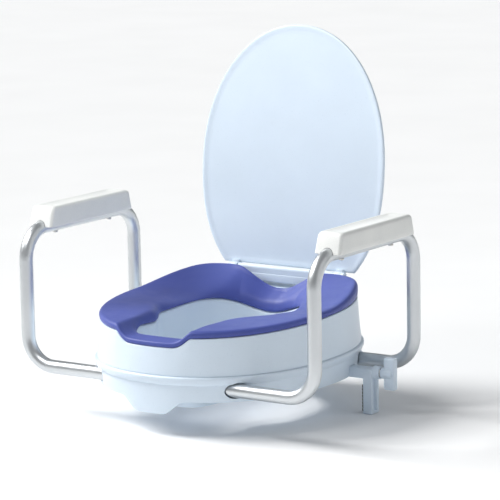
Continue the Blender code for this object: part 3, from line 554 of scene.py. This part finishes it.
def hole_outline(turn, grow=0.0):
    """The aperture's edge: a rounded keyhole that narrows to a slot at the front."""

    def outside(x, y):
        neck = smooth((y - HOLE_NECK_START) / (HOLE_NECK_END - HOLE_NECK_START))
        half = HOLE_HALF_WIDTH * (1 - (1 - HOLE_NECK) * neck) + grow
        power, reach = (HOLE_FRONT_POWER, HOLE_FRONT) if y < 0 else (HOLE_REAR_POWER, HOLE_REAR)
        return (abs(x) / half) ** power + (abs(y) / (reach + grow)) ** power - 1

    return from_centre(turn, outside)


def cushion_outline(turn, grow=0.0):
    """The foam's outer edge: the seat's egg, notched at the rear between two wings."""

    def outside(x, y):
        rear = NOTCH_REAR + (WING_REAR - NOTCH_REAR) * smooth((abs(x) - NOTCH_HALF) / NOTCH_SHOULDER)
        beyond_egg, beyond_rear = seat_outside(x, y, grow), y - rear - grow
        overlap = max(WING_ROUND - abs(beyond_egg - beyond_rear), 0.0)
        return max(beyond_egg, beyond_rear) + overlap ** 2 / (4 * WING_ROUND)

    return from_centre(turn, outside)


def front_recess(x, y):
    """1 in the middle of the front recess, 0 outside it."""
    across = 1 - min(max((abs(x) - FRONT_DIP_HALF) / FRONT_DIP_SHOULDER, 0.0), 1.0) ** 2
    return across * smooth((-y - FRONT_DIP_START) / FRONT_DIP_RAMP)


def deck_height(x, y):
    """Top of the deck: sloped, dished towards the aperture, lower in both recesses."""
    inward = -seat_outside(x, y) / HALF_WIDTH
    across = 1 - smooth(abs(x) / REAR_DIP_SHOULDER)
    along = (1 - smooth((y - REAR_DIP_END) / REAR_DIP_RAMP)) * (y > 0)
    rear = across * along
    dips = FRONT_DIP * front_recess(x, y) + REAR_DIP * rear
    return DECK_Z + DECK_SLOPE * y - DECK_DISH * smooth(inward / DECK_DISH_REACH) - dips


def cushion_height(x, y, across, width):
    """Top of the foam; across runs from 0 at its outer edge to 1 at the aperture, width is between them."""
    crest = CUSHION_Z + CUSHION_SLOPE * y + CUSHION_RISE * smooth(y / CUSHION_RISE_LENGTH)
    along = smooth((y - CUSHION_DISH_START) / CUSHION_DISH_LENGTH)
    dish = CUSHION_DISH * along * min(1.0, width / DISH_WIDTH) * across ** 1.15
    rear = (1 - smooth((abs(x) - CUSHION_DIP_HALF) / CUSHION_DIP_SHOULDER)) * smooth(y / CUSHION_DIP_LENGTH)
    return crest - dish - CUSHION_FRONT_DIP * front_recess(x, y) - CUSHION_REAR_DIP * rear


STEPS_ROUND = 288
TURNS = [2 * math.pi * (k + 0.5) / STEPS_ROUND for k in range(STEPS_ROUND)]


def ring_loft(name, rows):
    """A closed ring lofted through rows, each a function of the direction that gives a point."""

    def build(bm):
        rings = [[bm.verts.new(row(turn)) for turn in TURNS] for row in rows]
        for first, second in zip(rings, rings[1:] + rings[:1]):
            bridge(bm, first, second)

    return mesh_object(name, build)


def level_row(grow, height):
    return lambda turn: (*seat_outline(turn, grow), height)


def bead_row(grow, height):
    """A row along the seat's egg at the bead's slope; height is where it crosses Y = 0."""

    def row(turn):
        x, y = seat_outline(turn, grow)
        return x, y, height + BEAD_SLOPE * y

    return row


def hole_row(grow, height):
    return lambda turn: (*hole_outline(turn, grow), height)


def deck_row(across, drop, outer_grow=0.0, inner_grow=0.0):
    """A row on the deck, drop below its top, part of the way from the rim to the aperture."""

    def row(turn):
        outer = Vector(seat_outline(turn, outer_grow))
        inner = Vector(hole_outline(turn, inner_grow))
        x, y = outer.lerp(inner, across)
        return x, y, deck_height(x, y) - drop

    return row


def arc_rows(make, steps):
    """Rows along a quarter round: make(inward, down) with both from 0 to 1."""
    turns = [math.pi / 2 * k / steps for k in range(steps + 1)]
    return [make(1 - math.cos(t), 1 - math.sin(t)) for t in turns]


# ---------------------------------------------------------------- mouldings
def skirt_row(turn):
    """The skirt's drawn-in upper part, which stays below the recess's edge."""
    x, y = seat_outline(turn, 0.0012)
    return x, y, min(SKIRT_TOP_Z, deck_height(x, y) - SKIRT_BELOW_DECK)


def make_shell():
    """Upper moulding: skirt, drawn in at its top, rounded rim, dished deck, rolled inner edge and funnel."""
    w, r = WALL, DECK_CORNER
    joint = JOIN_Z + GAP
    skirt = [bead_row(0.0046, joint), bead_row(0.0050, joint + 0.0006), bead_row(0.0030, SKIRT_MIDDLE_Z),
             skirt_row]
    rim = arc_rows(lambda inward, down: deck_row(0.0, r * down, -r * inward), 5)
    deck = [deck_row(k / 6, 0.0) for k in range(1, 6)]
    roll = ((0.0, 0.0050), (0.0003, 0.0034), (0.0012, 0.0014), (0.0026, 0.0004), (0.0050, 0.0))
    lip = [deck_row(1.0, drop, 0.0, grow) for drop, grow in roll]
    funnel = [hole_row(-0.0005, FUNNEL_Z), hole_row(-0.0018, FUNNEL_BOTTOM + 0.001),
              hole_row(-0.0013, FUNNEL_BOTTOM)]
    funnel_back = [hole_row(w - 0.0025, FUNNEL_BOTTOM), hole_row(w - 0.0020, FUNNEL_BOTTOM + 0.001),
                   hole_row(w - 0.0005, FUNNEL_Z)]
    inside = [deck_row(1.0, 0.0060, 0.0, w), deck_row(0.6, w), deck_row(0.2, w), deck_row(0.0, w + r, -w),
              bead_row(0.0030 - w, SKIRT_MIDDLE_Z), bead_row(0.0050 - w, joint)]
    rows = skirt + rim + deck + lip + funnel + funnel_back + inside
    finish_piece(ring_loft("upper_moulding", rows), WHITE, "base", ["seat_shell"])


def lip_row(grow, rise=0.0):
    """The base skirt's lower edge, which drops at the front to form the tab."""

    def row(turn):
        x, y = seat_outline(turn, grow)
        drop = TAB_DEPTH * (1 - smooth((abs(x) - TAB_HALF) / TAB_FLANK)) if y < 0 else 0.0
        return x, y, LIP_Z - drop + rise

    return row


def make_base():
    """Lower moulding: floor, skirt with its bead and tab, holes for the arms' prongs and the clamps' bars."""
    w = WALL
    # how far out of the seat's egg, and how far above the bead's middle
    band = [(0.0030, -0.0140), (0.0034, -0.0096), (0.0040, -0.0091), (0.0052, -0.0086), (0.0062, -0.0076),
            (0.0072, -0.0056), (0.0083, -0.0028), (0.0089, -0.0004), (0.0090, 0.0010), (0.0087, 0.0023),
            (0.0078, 0.0035), (0.0064, 0.0041)]
    foot = [hole_row(0.0052, BASE_Z), level_row(-w - 0.0002, BASE_Z)]
    lip = [lip_row(-w, 0.0006), lip_row(-w + 0.0006), lip_row(-0.0006), lip_row(0.0002, 0.0006)]
    bead = [level_row(0.0012, BASE_Z + 0.004), *[bead_row(grow, BEAD_Z + up) for grow, up in band]]
    ledge = [bead_row(0.0052, JOIN_Z - 0.0004), bead_row(0.0044, JOIN_Z), bead_row(0.0014, JOIN_Z)]
    spigot = [bead_row(0.0002, SPIGOT_Z - 0.0005), bead_row(-0.0004, SPIGOT_Z),
              bead_row(0.0002 - w, SPIGOT_Z)]
    inside = [bead_row(0.0014 - w, JOIN_Z - w), bead_row(0.0034 - w, BEAD_Z - 0.010),
              level_row(0.0012 - w, FLOOR_TOP), hole_row(0.0052, FLOOR_TOP)]
    base = ring_loft("lower_moulding", foot + lip + bead + ledge + spigot + inside)
    mouths = ((ARM_FRONT_Y, MOUTH_FRONT_START), (ARM_REAR_Y, MOUTH_REAR_START))
    for side, m in SIDES:
        for y, start in mouths:
            middle = m * (start + CUT_END) / 2
            combine(base, rod("mouth", (middle, y, ARM_LOW_Z), MOUTH_R, CUT_END - start, "X", 64))
        combine(base, block("slot", (m * CLAMP_SLOT_START, CLAMP_Y - CLAMP_SLOT_HALF, CLAMP_SLOT_LOW),
                            (m * CLAMP_SLOT_END, CLAMP_Y + CLAMP_SLOT_HALF, CLAMP_SLOT_HIGH)))
        for x, y in SCREW_PLACES.values():
            combine(base, rod("counterbore", (m * x, y, BASE_Z - 0.0017), COUNTERBORE_R, 0.0070, "Z", 32))
    finish_piece(base, WHITE, "base", ["base_ring"])
    for side, m in SIDES:
        make_sleeves(side, m)


def make_sleeves(side, m):
    """The two moulded sleeves that an arm's prongs slide in, and the web under each."""
    sleeves = (("front", ARM_FRONT_Y, PRONG_FRONT_X, SLEEVE_FRONT_END),
               ("rear", ARM_REAR_Y, PRONG_REAR_X, SLEEVE_REAR_END))
    for place, y, start, end in sleeves:
        centre = (m * (start + end) / 2, y, ARM_LOW_Z)
        sleeve = rod(f"arm_sleeve_{place}_{side}", centre, SLEEVE_R, end - start, "X", 64)
        web = block("web", (m * (start + 0.001), y - 0.004, FLOOR_TOP + 0.0002),
                    (m * (end - 0.001), y + 0.004, ARM_LOW_Z))
        combine(sleeve, web, "UNION")
        combine(sleeve, rod("bore", centre, SLEEVE_BORE_R, 0.300, "X", 64))
        finish_piece(rounded(sleeve, 0.0006, 2), WHITE, "base", [])


# ---------------------------------------------------------------- foam ring
def make_cushion():
    """The moulded foam ring: full outer roll, a face that slopes in, rolled inner edge, flat under side."""

    def row(across, outer_grow, inner_grow, rise):
        def place(turn):
            inner = Vector(hole_outline(turn, inner_grow))
            width = (Vector(cushion_outline(turn)) - inner).length
            outer = Vector(cushion_outline(turn, outer_grow * min(1.0, width / ROUND_WIDTH)))
            x, y = outer.lerp(inner, across)
            deck = deck_height(x, y) + GAP
            return x, y, deck + (cushion_height(x, y, across, width) - deck) * rise

        return place

    # how far out of the outline, and what part of the foam's height above the deck
    outer_roll = [(-0.0016, 0.03), (-0.0004, 0.12), (0.0003, 0.27), (0.0006, 0.43), (0.0006, 0.60),
                  (0.0001, 0.74), (-0.0010, 0.86), (-0.0027, 0.95), (-0.0046, 0.985), (-0.0076, 1.0)]
    # what part of the way to the aperture, and of the height
    face = [(0.22, 1.0), (0.36, 1.0), (0.52, 1.0), (0.66, 1.0), (0.78, 0.99)]
    inner_roll = [(0.88, 0.0, 0.94), (0.93, 0.0, 0.85), (0.965, 0.0, 0.72), (0.99, 0.0, 0.56),
                  (1.0, -0.0005, 0.40), (1.0, -0.0008, 0.24), (1.0, 0.0002, 0.10), (1.0, 0.0020, 0.02)]
    rows = [row(0.0, grow, 0.0, rise) for grow, rise in outer_roll]
    rows += [row(across, 0.0, 0.0, rise) for across, rise in face]
    rows += [row(across, 0.0, grow, rise) for across, grow, rise in inner_roll]
    rows += [row(0.8, 0.0, 0.0, 0.0), row(0.4, 0.0, 0.0, 0.0), row(0.02, -0.0040, 0.0, 0.0)]
    foam = subdivided(ring_loft("foam_ring", rows))
    finish_piece(foam, BLUE, "base", ["seat_cushion"], 70)


# ---------------------------------------------------------------- lid and hinge
def lid_point(turn, shrink):
    """A point on the lid's egg, x across, y up from the axis."""
    c, s = math.cos(turn), math.sin(turn)
    power, reach = (LID_BELOW_POWER, LID_BELOW - shrink) if s < 0 else (LID_ABOVE_POWER, LID_ABOVE - shrink)
    x = (LID_HALF_WIDTH - shrink) * math.copysign(abs(c) ** (2 / power), c)
    return x, LID_WIDEST + reach * math.copysign(abs(s) ** (2 / power), s)


def lid_outline(shrink):
    """The lid's egg, cut straight across near the axis, as evenly turned points and a straight run."""
    steps, run = 180, 24
    level = (LID_WIDEST - LID_START - shrink) / (LID_BELOW - shrink)
    start = -math.asin(level ** (LID_BELOW_POWER / 2))
    points = [lid_point(start + (math.pi - 2 * start) * k / steps, shrink) for k in range(steps + 1)]
    (x0, y0), (x1, y1) = points[-1], points[0]
    return points + [(x0 + (x1 - x0) * k / run, y0 + (y1 - y0) * k / run) for k in range(1, run)]


LID_FRAME = Matrix.Translation(AXIS) @ Matrix.Rotation(math.pi / 2 - LID_LEAN, 4, "X")


def make_lid():
    """Bowed egg plate with a rolled edge, a shallow recess on the seat's side and two hinge ears."""
    face, back = -LID_OFFSET, -LID_OFFSET - LID_THICK
    length = LID_WIDEST + LID_ABOVE
    middle = (LID_START + length) / 2
    recess = face - LID_RECESS
    # each row: how far in from the egg, what part of the way out from the middle, and how high
    back_rows = [(0.0060, part, back) for part in (0.25, 0.5, 0.75, 0.9, 1.0)]
    edge = [(0.0035, back + 0.0001), (0.0018, back + 0.0006), (0.0006, back + 0.0016), (0.0, back + 0.0032),
            (0.0, face - 0.0014), (0.0004, face - 0.0005), (0.0013, face), (0.0036, face),
            (0.0052, face - 0.0001), (0.0072, face - 0.0004), (0.0092, face - 0.0007), (0.0112, recess)]
    edge_rows = [(inset, 1.0, z) for inset, z in edge]
    recess_rows = [(0.0112, part, recess) for part in (0.97, 0.85, 0.7, 0.5, 0.25)]

    def place(x, y, z):
        along = (y - LID_START) / (length - LID_START)
        return x, y, z + LID_BOW * 4 * along * (1 - along)

    def build(bm):
        rings = [[bm.verts.new(place(0.0, middle, back))]]
        for inset, part, z in back_rows + edge_rows + recess_rows:
            outline = [(x * part, middle + (y - middle) * part, z) for x, y in lid_outline(inset)]
            rings.append([bm.verts.new(place(*point)) for point in outline])
        rings.append([bm.verts.new(place(0.0, middle, recess))])
        for first, second in zip(rings, rings[1:]):
            bridge(bm, first, second)

    lid = mesh_object("lid_plate", build)
    half = LUG_HALF - CHEEK - GAP
    for _, m in SIDES:
        ear = rod("ear", (m * LUG_X, 0, 0), CHEEK_R, 2 * half, "X")
        web = block("web", (m * LUG_X - half, -0.0008, back + 0.0015),
                    (m * LUG_X + half, LID_START + 0.0045, -0.0005))
        combine(ear, web, "UNION")
        combine(ear, rod("eye", (m * LUG_X, 0, 0), EYE_R, EYE_LENGTH, "X"))
        rounded(ear, 0.0005, 2)
        combine(lid, ear, "UNION")
    lid.matrix_world = LID_FRAME
    finish_piece(lid, WHITE, "lid", ["lid"])


def make_hinge():
    """Rounded cross bar with a barrel along the lid's axis, a fork for each of its ears, and riveted pins."""
    low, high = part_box("hinge_bar")
    foot = HINGE_BAR_TOP - 0.003
    front, rear = AXIS.y - CHEEK_R, AXIS.y + CHEEK_R
    bar = rounded(block("hinge_bar_moulding", low, (high.x, high.y, HINGE_BAR_TOP)), 0.0022, 4)
    reach = LUG_X - LUG_HALF + CHEEK / 2
    barrel = rod("barrel", AXIS, CHEEK_R, 2 * reach, "X", 48)
    combine(barrel, block("rib", (-reach, front, foot), (reach, rear, AXIS.z)), "UNION")
    combine(bar, barrel, "UNION")
    for side, m in SIDES:
        for sign in (1, -1):
            x = m * (LUG_X + sign * (LUG_HALF - CHEEK / 2))
            cheek = rod("cheek", (x, AXIS.y, AXIS.z), CHEEK_R, CHEEK, "X")
            post = block("post", (x - CHEEK / 2, front, foot), (x + CHEEK / 2, rear, AXIS.z))
            combine(cheek, post, "UNION")
            combine(cheek, rod("eye", (x, AXIS.y, AXIS.z), EYE_R, EYE_LENGTH, "X"))
            combine(bar, rounded(cheek, 0.0006, 2), "UNION")
        pin_low, pin_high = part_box(f"hinge_pin_{side}")
        half, r = (pin_high.x - pin_low.x) / 2, PIN_R
        place = Matrix.Translation((m * LUG_X, AXIS.y, AXIS.z)) @ TURN["X"]
        dome = [(0.0, -half - 0.0006), (r * 0.7, -half - 0.0004), (r, -half + 0.0002),
                (r, half - 0.0002), (r * 0.7, half + 0.0004), (0.0, half + 0.0006)]
        finish_piece(turned(f"lid_pin_{side}", dome, place), STEEL, "base", [f"hinge_pin_{side}"])
    finish_piece(bar, WHITE, "base", ["hinge_bar"])


# ---------------------------------------------------------------- screws
def make_screw(name, node, body, seat, head_r, head_h, length):
    """A pan-head screw whose head faces down, with a domed head and a cross recess."""
    shaft = 0.0019
    profile = [(0.0, length), (shaft * 0.6, length), (shaft, length - 0.0012), (shaft, 0.0),
               (head_r * 0.94, 0.0), (head_r, -head_h * 0.22), (head_r * 0.93, -head_h * 0.58),
               (head_r * 0.70, -head_h * 0.88), (head_r * 0.40, -head_h), (0.0, -head_h)]
    screw = turned(name, profile, Matrix.Translation(seat), 32)
    x, y, z = seat
    blade, reach = 0.00055, head_r * 0.56
    for wide, deep in ((reach, blade), (blade, reach)):
        combine(screw, block("cross", (x - wide, y - deep, z - head_h - 0.001),
                             (x + wide, y + deep, z - head_h * 0.35)))
    finish_piece(screw, STEEL, body, [node])


def make_screws():
    """Three screws on each side that go up through the floor, and two that go up into each arm pad."""
    for side, m in SIDES:
        for place, (x, y) in SCREW_PLACES.items():
            make_screw(f"floor_screw_{place}_{side}", f"assembly_screw_{place}_{side}", "base",
                       (m * x, y, BASE_Z + 0.0014), 0.0040, 0.0020, 0.0200)
        for place in ("front", "rear"):
            low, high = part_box(f"arm_pad_screw_{place}_{side}")
            seat = ((low.x + high.x) / 2, (low.y + high.y) / 2, low.z + 0.0028)
            make_screw(f"pad_screw_{place}_{side}", f"arm_pad_screw_{place}_{side}", f"arm_{side}", seat,
                       0.0045, 0.0028, 0.0350)


# ---------------------------------------------------------------- arms
def quarter(centre, start, end):
    """Points of a quarter arc about centre, from centre + start to centre + end."""
    steps = 14
    centre, start, end = Vector(centre), Vector(start), Vector(end)
    turns = [math.pi / 2 * k / steps for k in range(steps + 1)]
    return [centre + start * math.cos(t) + end * math.sin(t) for t in turns]


def arm_path(m, extra=0.0):
    """Centre line of an arm, from the tip of its front prong to the tip of its rear one."""
    r, x, low, top = BEND_R, ARM_X, ARM_LOW_Z, ARM_TOP_Z
    path = [Vector((PRONG_FRONT_X - extra, ARM_FRONT_Y, low))]
    path += quarter((x - r, ARM_FRONT_Y, low + r), (0, 0, -r), (r, 0, 0))
    path += quarter((x, ARM_FRONT_Y + r, top - r), (0, -r, 0), (0, 0, r))
    path += quarter((x, ARM_REAR_Y - r, top - r), (0, 0, r), (0, r, 0))
    path += quarter((x - r, ARM_REAR_Y, low + r), (r, 0, 0), (0, 0, -r))
    path.append(Vector((PRONG_REAR_X - extra, ARM_REAR_Y, low)))
    return [(m * p.x, p.y, p.z) for p in path]


def make_tube(side, m):
    """The bent tube, hollow from tip to tip, with two holes for the pad's screws."""
    tube = bar_along(f"bent_tube_{side}", arm_path(m), TUBE_R)
    combine(tube, bar_along("hollow", arm_path(m, 0.010), TUBE_R - TUBE_WALL))
    for place in ("front", "rear"):
        low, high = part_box(f"arm_pad_screw_{place}_{side}")
        centre = ((low.x + high.x) / 2, (low.y + high.y) / 2, ARM_TOP_Z)
        combine(tube, rod("hole", centre, PAD_SCREW_HOLE_R, 0.040))
    finish_piece(tube, ALUMINIUM, f"arm_{side}", [f"arm_tube_{side}"], 40)


def make_arm_pad(side, m):
    """Moulded pad: drafted sides, ends that lean in, soft edges, a dished top and an arch for the tube."""
    low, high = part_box(f"arm_pad_{side}")
    middle_x, half = (low.x + high.x) / 2, (high.x - low.x) / 2
    middle_y = (low.y + high.y) / 2
    edge = 0.0062

    def section(level, inset):
        """A rounded rectangle at a height, inset from the pad's foot, as points round it."""
        front, rear = low.y + 0.010 * level + inset, high.y - 0.006 * level - inset
        wide = half - 0.0012 * level - inset
        r, sides = 0.0055, 10
        corners = ((1, -1), (1, 1), (-1, 1), (-1, -1))
        points = []
        for k, (sx, sy) in enumerate(corners):
            cx = middle_x + sx * (wide - r)
            cy = rear - r if sy > 0 else front + r
            first = math.pi * 1.5 + k * math.pi / 2
            for step in range(sides):
                a = first + math.pi / 2 * step / (sides - 1)
                points.append((cx + r * math.cos(a), cy + r * math.sin(a)))
        return points

    def build(bm):
        rings = []
        for inset, up in ((0.0011, 0.0), (0.0004, 0.0003), (0.0, 0.0011)):
            rings.append([bm.verts.new((x, y, low.z + up)) for x, y in section(0.0, inset)])
        for level in (0.25, 0.5, 0.7):
            z = low.z + (high.z - low.z - edge) * level / 0.8
            rings.append([bm.verts.new((x, y, min(z, high.z - edge))) for x, y in section(level, 0.0)])
        for k in range(7):
            a = math.pi / 2 * k / 6
            z = high.z - edge + edge * math.sin(a)
            outline = section(0.85 + 0.15 * math.sin(a), edge * (1 - math.cos(a)))
            rings.append([bm.verts.new((x, y, z)) for x, y in outline])
        top = [v.co.copy() for v in rings[-1]]
        for part, sink in ((0.86, 0.0009), (0.66, 0.0018), (0.42, 0.0023), (0.2, 0.0025)):
            ring = []
            for point in top:
                x = middle_x + (point.x - middle_x) * part
                y = middle_y + (point.y - middle_y) * (1 - (1 - part) * 0.35)
                ring.append(bm.verts.new((x, y, high.z - sink)))
            rings.append(ring)
        for first, second in zip(rings, rings[1:]):
            bridge(bm, first, second)
        bm.faces.new(rings[0])
        bm.faces.new(rings[-1])

    pad = mesh_object(f"moulded_arm_pad_{side}", build)
    combine(pad, bar_along("groove", arm_path(m), TUBE_R + 0.0005))
    finish_piece(pad, CREAM, f"arm_{side}", [f"arm_pad_{side}"], 40)


# ---------------------------------------------------------------- clamps
def make_bracket(side, m):
    """L-shaped moulding: bar, leg with two grooves and a rib outside, and a round boss for the spindle."""
    low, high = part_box(f"clamp_bracket_{side}")
    inner = min(abs(low.x), abs(high.x))
    leg_out = max(abs(low.x), abs(high.x)) - CLAMP_BOSS_REACH
    leg_in = leg_out - CLAMP_LEG_THICK
    bracket = block(f"clamp_hook_{side}", (m * inner, low.y, CLAMP_BAR_LOW),
                    (m * leg_out, high.y, CLAMP_BAR_HIGH))
    leg = block("leg", (m * leg_in, low.y, low.z), (m * leg_out, high.y, CLAMP_BAR_HIGH))
    combine(bracket, leg, "UNION")
    rounded(bracket, 0.0022, 3, 60)
    for y in (low.y + 0.0075, high.y - 0.0075):
        groove = block("groove", (m * (leg_out - 0.0010), y - 0.0022, low.z + 0.006),
                       (m * (leg_out + 0.004), y + 0.0022, -0.006))
        combine(bracket, rounded(groove, 0.0008, 2))
    boss = rod("boss", (m * (leg_out + 0.0045), CLAMP_Y, CLAMP_AXIS_Z), 0.0105, 0.0130, "X", 64)
    combine(bracket, rounded(boss, 0.0012), "UNION")
    rib = rounded(block("rib", (m * (leg_out - 0.002), CLAMP_Y - 0.0020, low.z + 0.006),
                        (m * (leg_out + 0.0045), CLAMP_Y + 0.0020, CLAMP_AXIS_Z)), 0.0008, 2)
    combine(bracket, rib, "UNION")
    combine(bracket, rod("bore", (m * 0.190, CLAMP_Y, CLAMP_AXIS_Z), 0.0040, 0.140, "X"))
    finish_piece(bracket, WHITE, f"clamp_{side}", [f"clamp_bracket_{side}"])


def make_knob(side, m):
    """A wing with softly rounded edges across a round hub, dished outside, with a socket for the spindle."""
    low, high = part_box(f"clamp_knob_{side}")
    near, far = sorted((abs(low.x), abs(high.x)))
    hub = rod(f"wing_knob_{side}", (m * (near + 0.010), CLAMP_Y, CLAMP_AXIS_Z), 0.0090, 0.0200, "X", 64)
    rounded(hub, 0.0012)
    wing = block("wing", (m * (near + 0.0047), CLAMP_Y - 0.0058, low.z), (m * far, CLAMP_Y + 0.0058, high.z))
    rounded(wing, 0.0034, 5)
    combine(hub, wing, "UNION")
    dish_centre = (m * (far + 0.0460), CLAMP_Y, CLAMP_AXIS_Z)
    combine(hub, rod("dish", dish_centre, KNOB_DISH_R, 0.0100, "Y", 128))
    mouth, end = near - 0.004, far - 0.0060
    combine(hub, rod("socket", (m * (mouth + end) / 2, CLAMP_Y, CLAMP_AXIS_Z), 0.0039, end - mouth, "X"))
    finish_piece(hub, WHITE, f"knob_{side}", [f"clamp_knob_{side}"])


# ---------------------------------------------------------------- rubber pads
def ribbed_pad(name, node, body, place, size, ribs):
    """A thin rubber slab, ribbed across one face. place takes it from its own frame to the seat's."""
    x, y, z = size
    pad = rounded(block(name, (-x / 2, -y / 2, 0.0), (x / 2, y / 2, z * 0.62)), 0.0003, 2)
    for k in range(ribs):
        at = (k - (ribs - 1) / 2) * x / ribs
        rib = rounded(block("rib", (at - x / ribs * 0.28, -y / 2 + 0.0008, z * 0.3),
                            (at + x / ribs * 0.28, y / 2 - 0.0008, z)), 0.00025, 2)
        combine(pad, rib, "UNION")
    pad.data.transform(place)
    finish_piece(pad, RUBBER, body, [node])


def make_pads():
    """Four pads on the bowl's rim, one in each clamp's jaw and one behind the front tab."""
    # across, along, and turned by how many degrees
    rim = {"front": (0.112, -0.128, -48), "rear": (0.118, 0.140, 52)}
    for side, m in SIDES:
        for where, (x, y, turn) in rim.items():
            node = f"rim_pad_{where}_{side}"
            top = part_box(node)[1].z
            place = Matrix.Translation((m * x, y, top)) @ Matrix.Rotation(math.radians(-turn * m), 4, "Z")
            ribbed_pad(f"ribbed_{node}", node, "base", place @ Matrix.Rotation(math.pi, 4, "X"),
                       (0.038, 0.015, top), 7)
        node = f"clamp_jaw_pad_{side}"
        low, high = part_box(node)
        outer = max(abs(low.x), abs(high.x))
        thick = high.x - low.x
        turn = Matrix.Rotation(-m * math.pi / 2, 4, "Y")
        place = Matrix.Translation((m * outer, (low.y + high.y) / 2, (low.z + high.z) / 2)) @ turn
        size = (high.z - low.z, high.y - low.y, thick)
        ribbed_pad(f"ribbed_{node}", node, f"clamp_{side}", place, size, 8)
    low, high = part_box("front_tab_pad")
    place = Matrix.Translation((0, low.y, (low.z + high.z) / 2)) @ Matrix.Rotation(-math.pi / 2, 4, "X")
    ribbed_pad("ribbed_front_tab_pad", "front_tab_pad", "base", place,
               (high.x - low.x, high.z - low.z, high.y - low.y), 8)


# ---------------------------------------------------------------- CAD nodes that only get a better material
def dress_nodes():
    """Gives the small metal and rubber CAD nodes their material and smooth shading."""
    dressed = {THREAD: ["clamp_spindle"], STEEL: ["clamp_nut", "clamp_washer", "hinge_screw"],
               RUBBER: ["arm_end_plug_front", "arm_end_plug_rear"]}
    for material, starts in dressed.items():
        for start in starts:
            for side, _ in SIDES:
                node = frame["nodes"][f"{start}_{side}"]
                node.data.materials.clear()
                node.data.materials.append(material)
                node.data.shade_smooth()
                node.data.set_sharp_from_angle(angle=math.radians(40))


# ---------------------------------------------------------------- studio
FLOOR_Z = -0.0562                      # just under the feet of the clamps
FLOOR_HALF = 60.0
FLOOR_THICK = 0.02
# name, direction it comes from, strength, apparent width in degrees
SUNS = (("key", (-0.74, -0.18, 0.64), 3.50, 28), ("side", (0.90, 0.10, 0.40), 0.35, 60))
LID_BOX_AT = (-0.35, -0.75, 1.15)
LID_BOX_AIM = (0.0, 0.2, 0.4)
CAMERA_AT = (2.49998, -3.66189, 0.97361)
CAMERA_AZIMUTH = math.radians(33.90)
CAMERA_ELEVATION = math.radians(9.91)
CAMERA_ROLL = math.radians(-1.015)
CAMERA_LENS = 202.91


def make_studio():
    """Pale floor without an edge in view, a broad key from the left, two weak lights and a pale surround."""
    floor = block("studio_floor", (-FLOOR_HALF, -FLOOR_HALF, FLOOR_Z - FLOOR_THICK),
                  (FLOOR_HALF, FLOOR_HALF, FLOOR_Z))
    p = Paint("pale_floor")
    p.link(p.ramp(p.noise(3.0, 2.0), [(0.3, (0.90, 0.905, 0.91)), (0.7, (0.92, 0.925, 0.93))]),
           p.shader.inputs["Base Color"])
    p.link(p.span(p.noise(8.0), 0.80, 0.90), p.shader.inputs["Roughness"])
    floor.data.materials.append(p.material)
    world = bpy.data.worlds.new("studio")
    world.use_nodes = True
    world.node_tree.nodes["Background"].inputs["Color"].default_value = (0.95, 0.975, 1.0, 1.0)
    world.node_tree.nodes["Background"].inputs["Strength"].default_value = 0.30
    scene = bpy.context.scene
    scene.world = world
    scene.view_settings.view_transform = "Standard"
    for name, place, energy, width in SUNS:
        light = bpy.data.lights.new(name, "SUN")
        light.energy = energy
        light.angle = math.radians(width)
        light.color = (1.0, 0.995, 0.985)
        lamp = bpy.data.objects.new(name, light)
        lamp.location = place
        lamp.rotation_euler = Vector(place).to_track_quat("Z", "Y").to_euler()
        scene.collection.objects.link(lamp)
    box = bpy.data.lights.new("lid_box", "AREA")
    box.shape = "DISK"
    box.size = 0.5
    box.energy = 5.5
    lamp = bpy.data.objects.new("lid_box", box)
    lamp.location = LID_BOX_AT
    lamp.rotation_euler = (lamp.location - Vector(LID_BOX_AIM)).to_track_quat("Z", "Y").to_euler()
    scene.collection.objects.link(lamp)


def make_camera():
    """From the front right and a little above, with a long lens."""
    azimuth, elevation, roll = CAMERA_AZIMUTH, CAMERA_ELEVATION, CAMERA_ROLL
    level = math.cos(elevation)
    back = Vector((math.sin(azimuth) * level, -math.cos(azimuth) * level, math.sin(elevation)))
    right = Vector((math.cos(azimuth), math.sin(azimuth), 0.0))
    up = back.cross(right)
    turned_right = right * math.cos(roll) + up * math.sin(roll)
    turned_up = up * math.cos(roll) - right * math.sin(roll)
    lens = bpy.data.cameras.new("camera")
    lens.sensor_width = 36.0
    lens.lens = CAMERA_LENS
    camera = bpy.data.objects.new("camera", lens)
    facing = Matrix((turned_right, turned_up, back)).transposed().to_4x4()
    camera.matrix_world = Matrix.Translation(CAMERA_AT) @ facing
    bpy.context.scene.collection.objects.link(camera)
    bpy.context.scene.camera = camera


make_shell()
make_base()
make_cushion()
make_lid()
make_hinge()
make_screws()
make_pads()
for SIDE, M in SIDES:
    make_tube(SIDE, M)
    make_arm_pad(SIDE, M)
    make_bracket(SIDE, M)
    make_knob(SIDE, M)
dress_nodes()
make_studio()
make_camera()
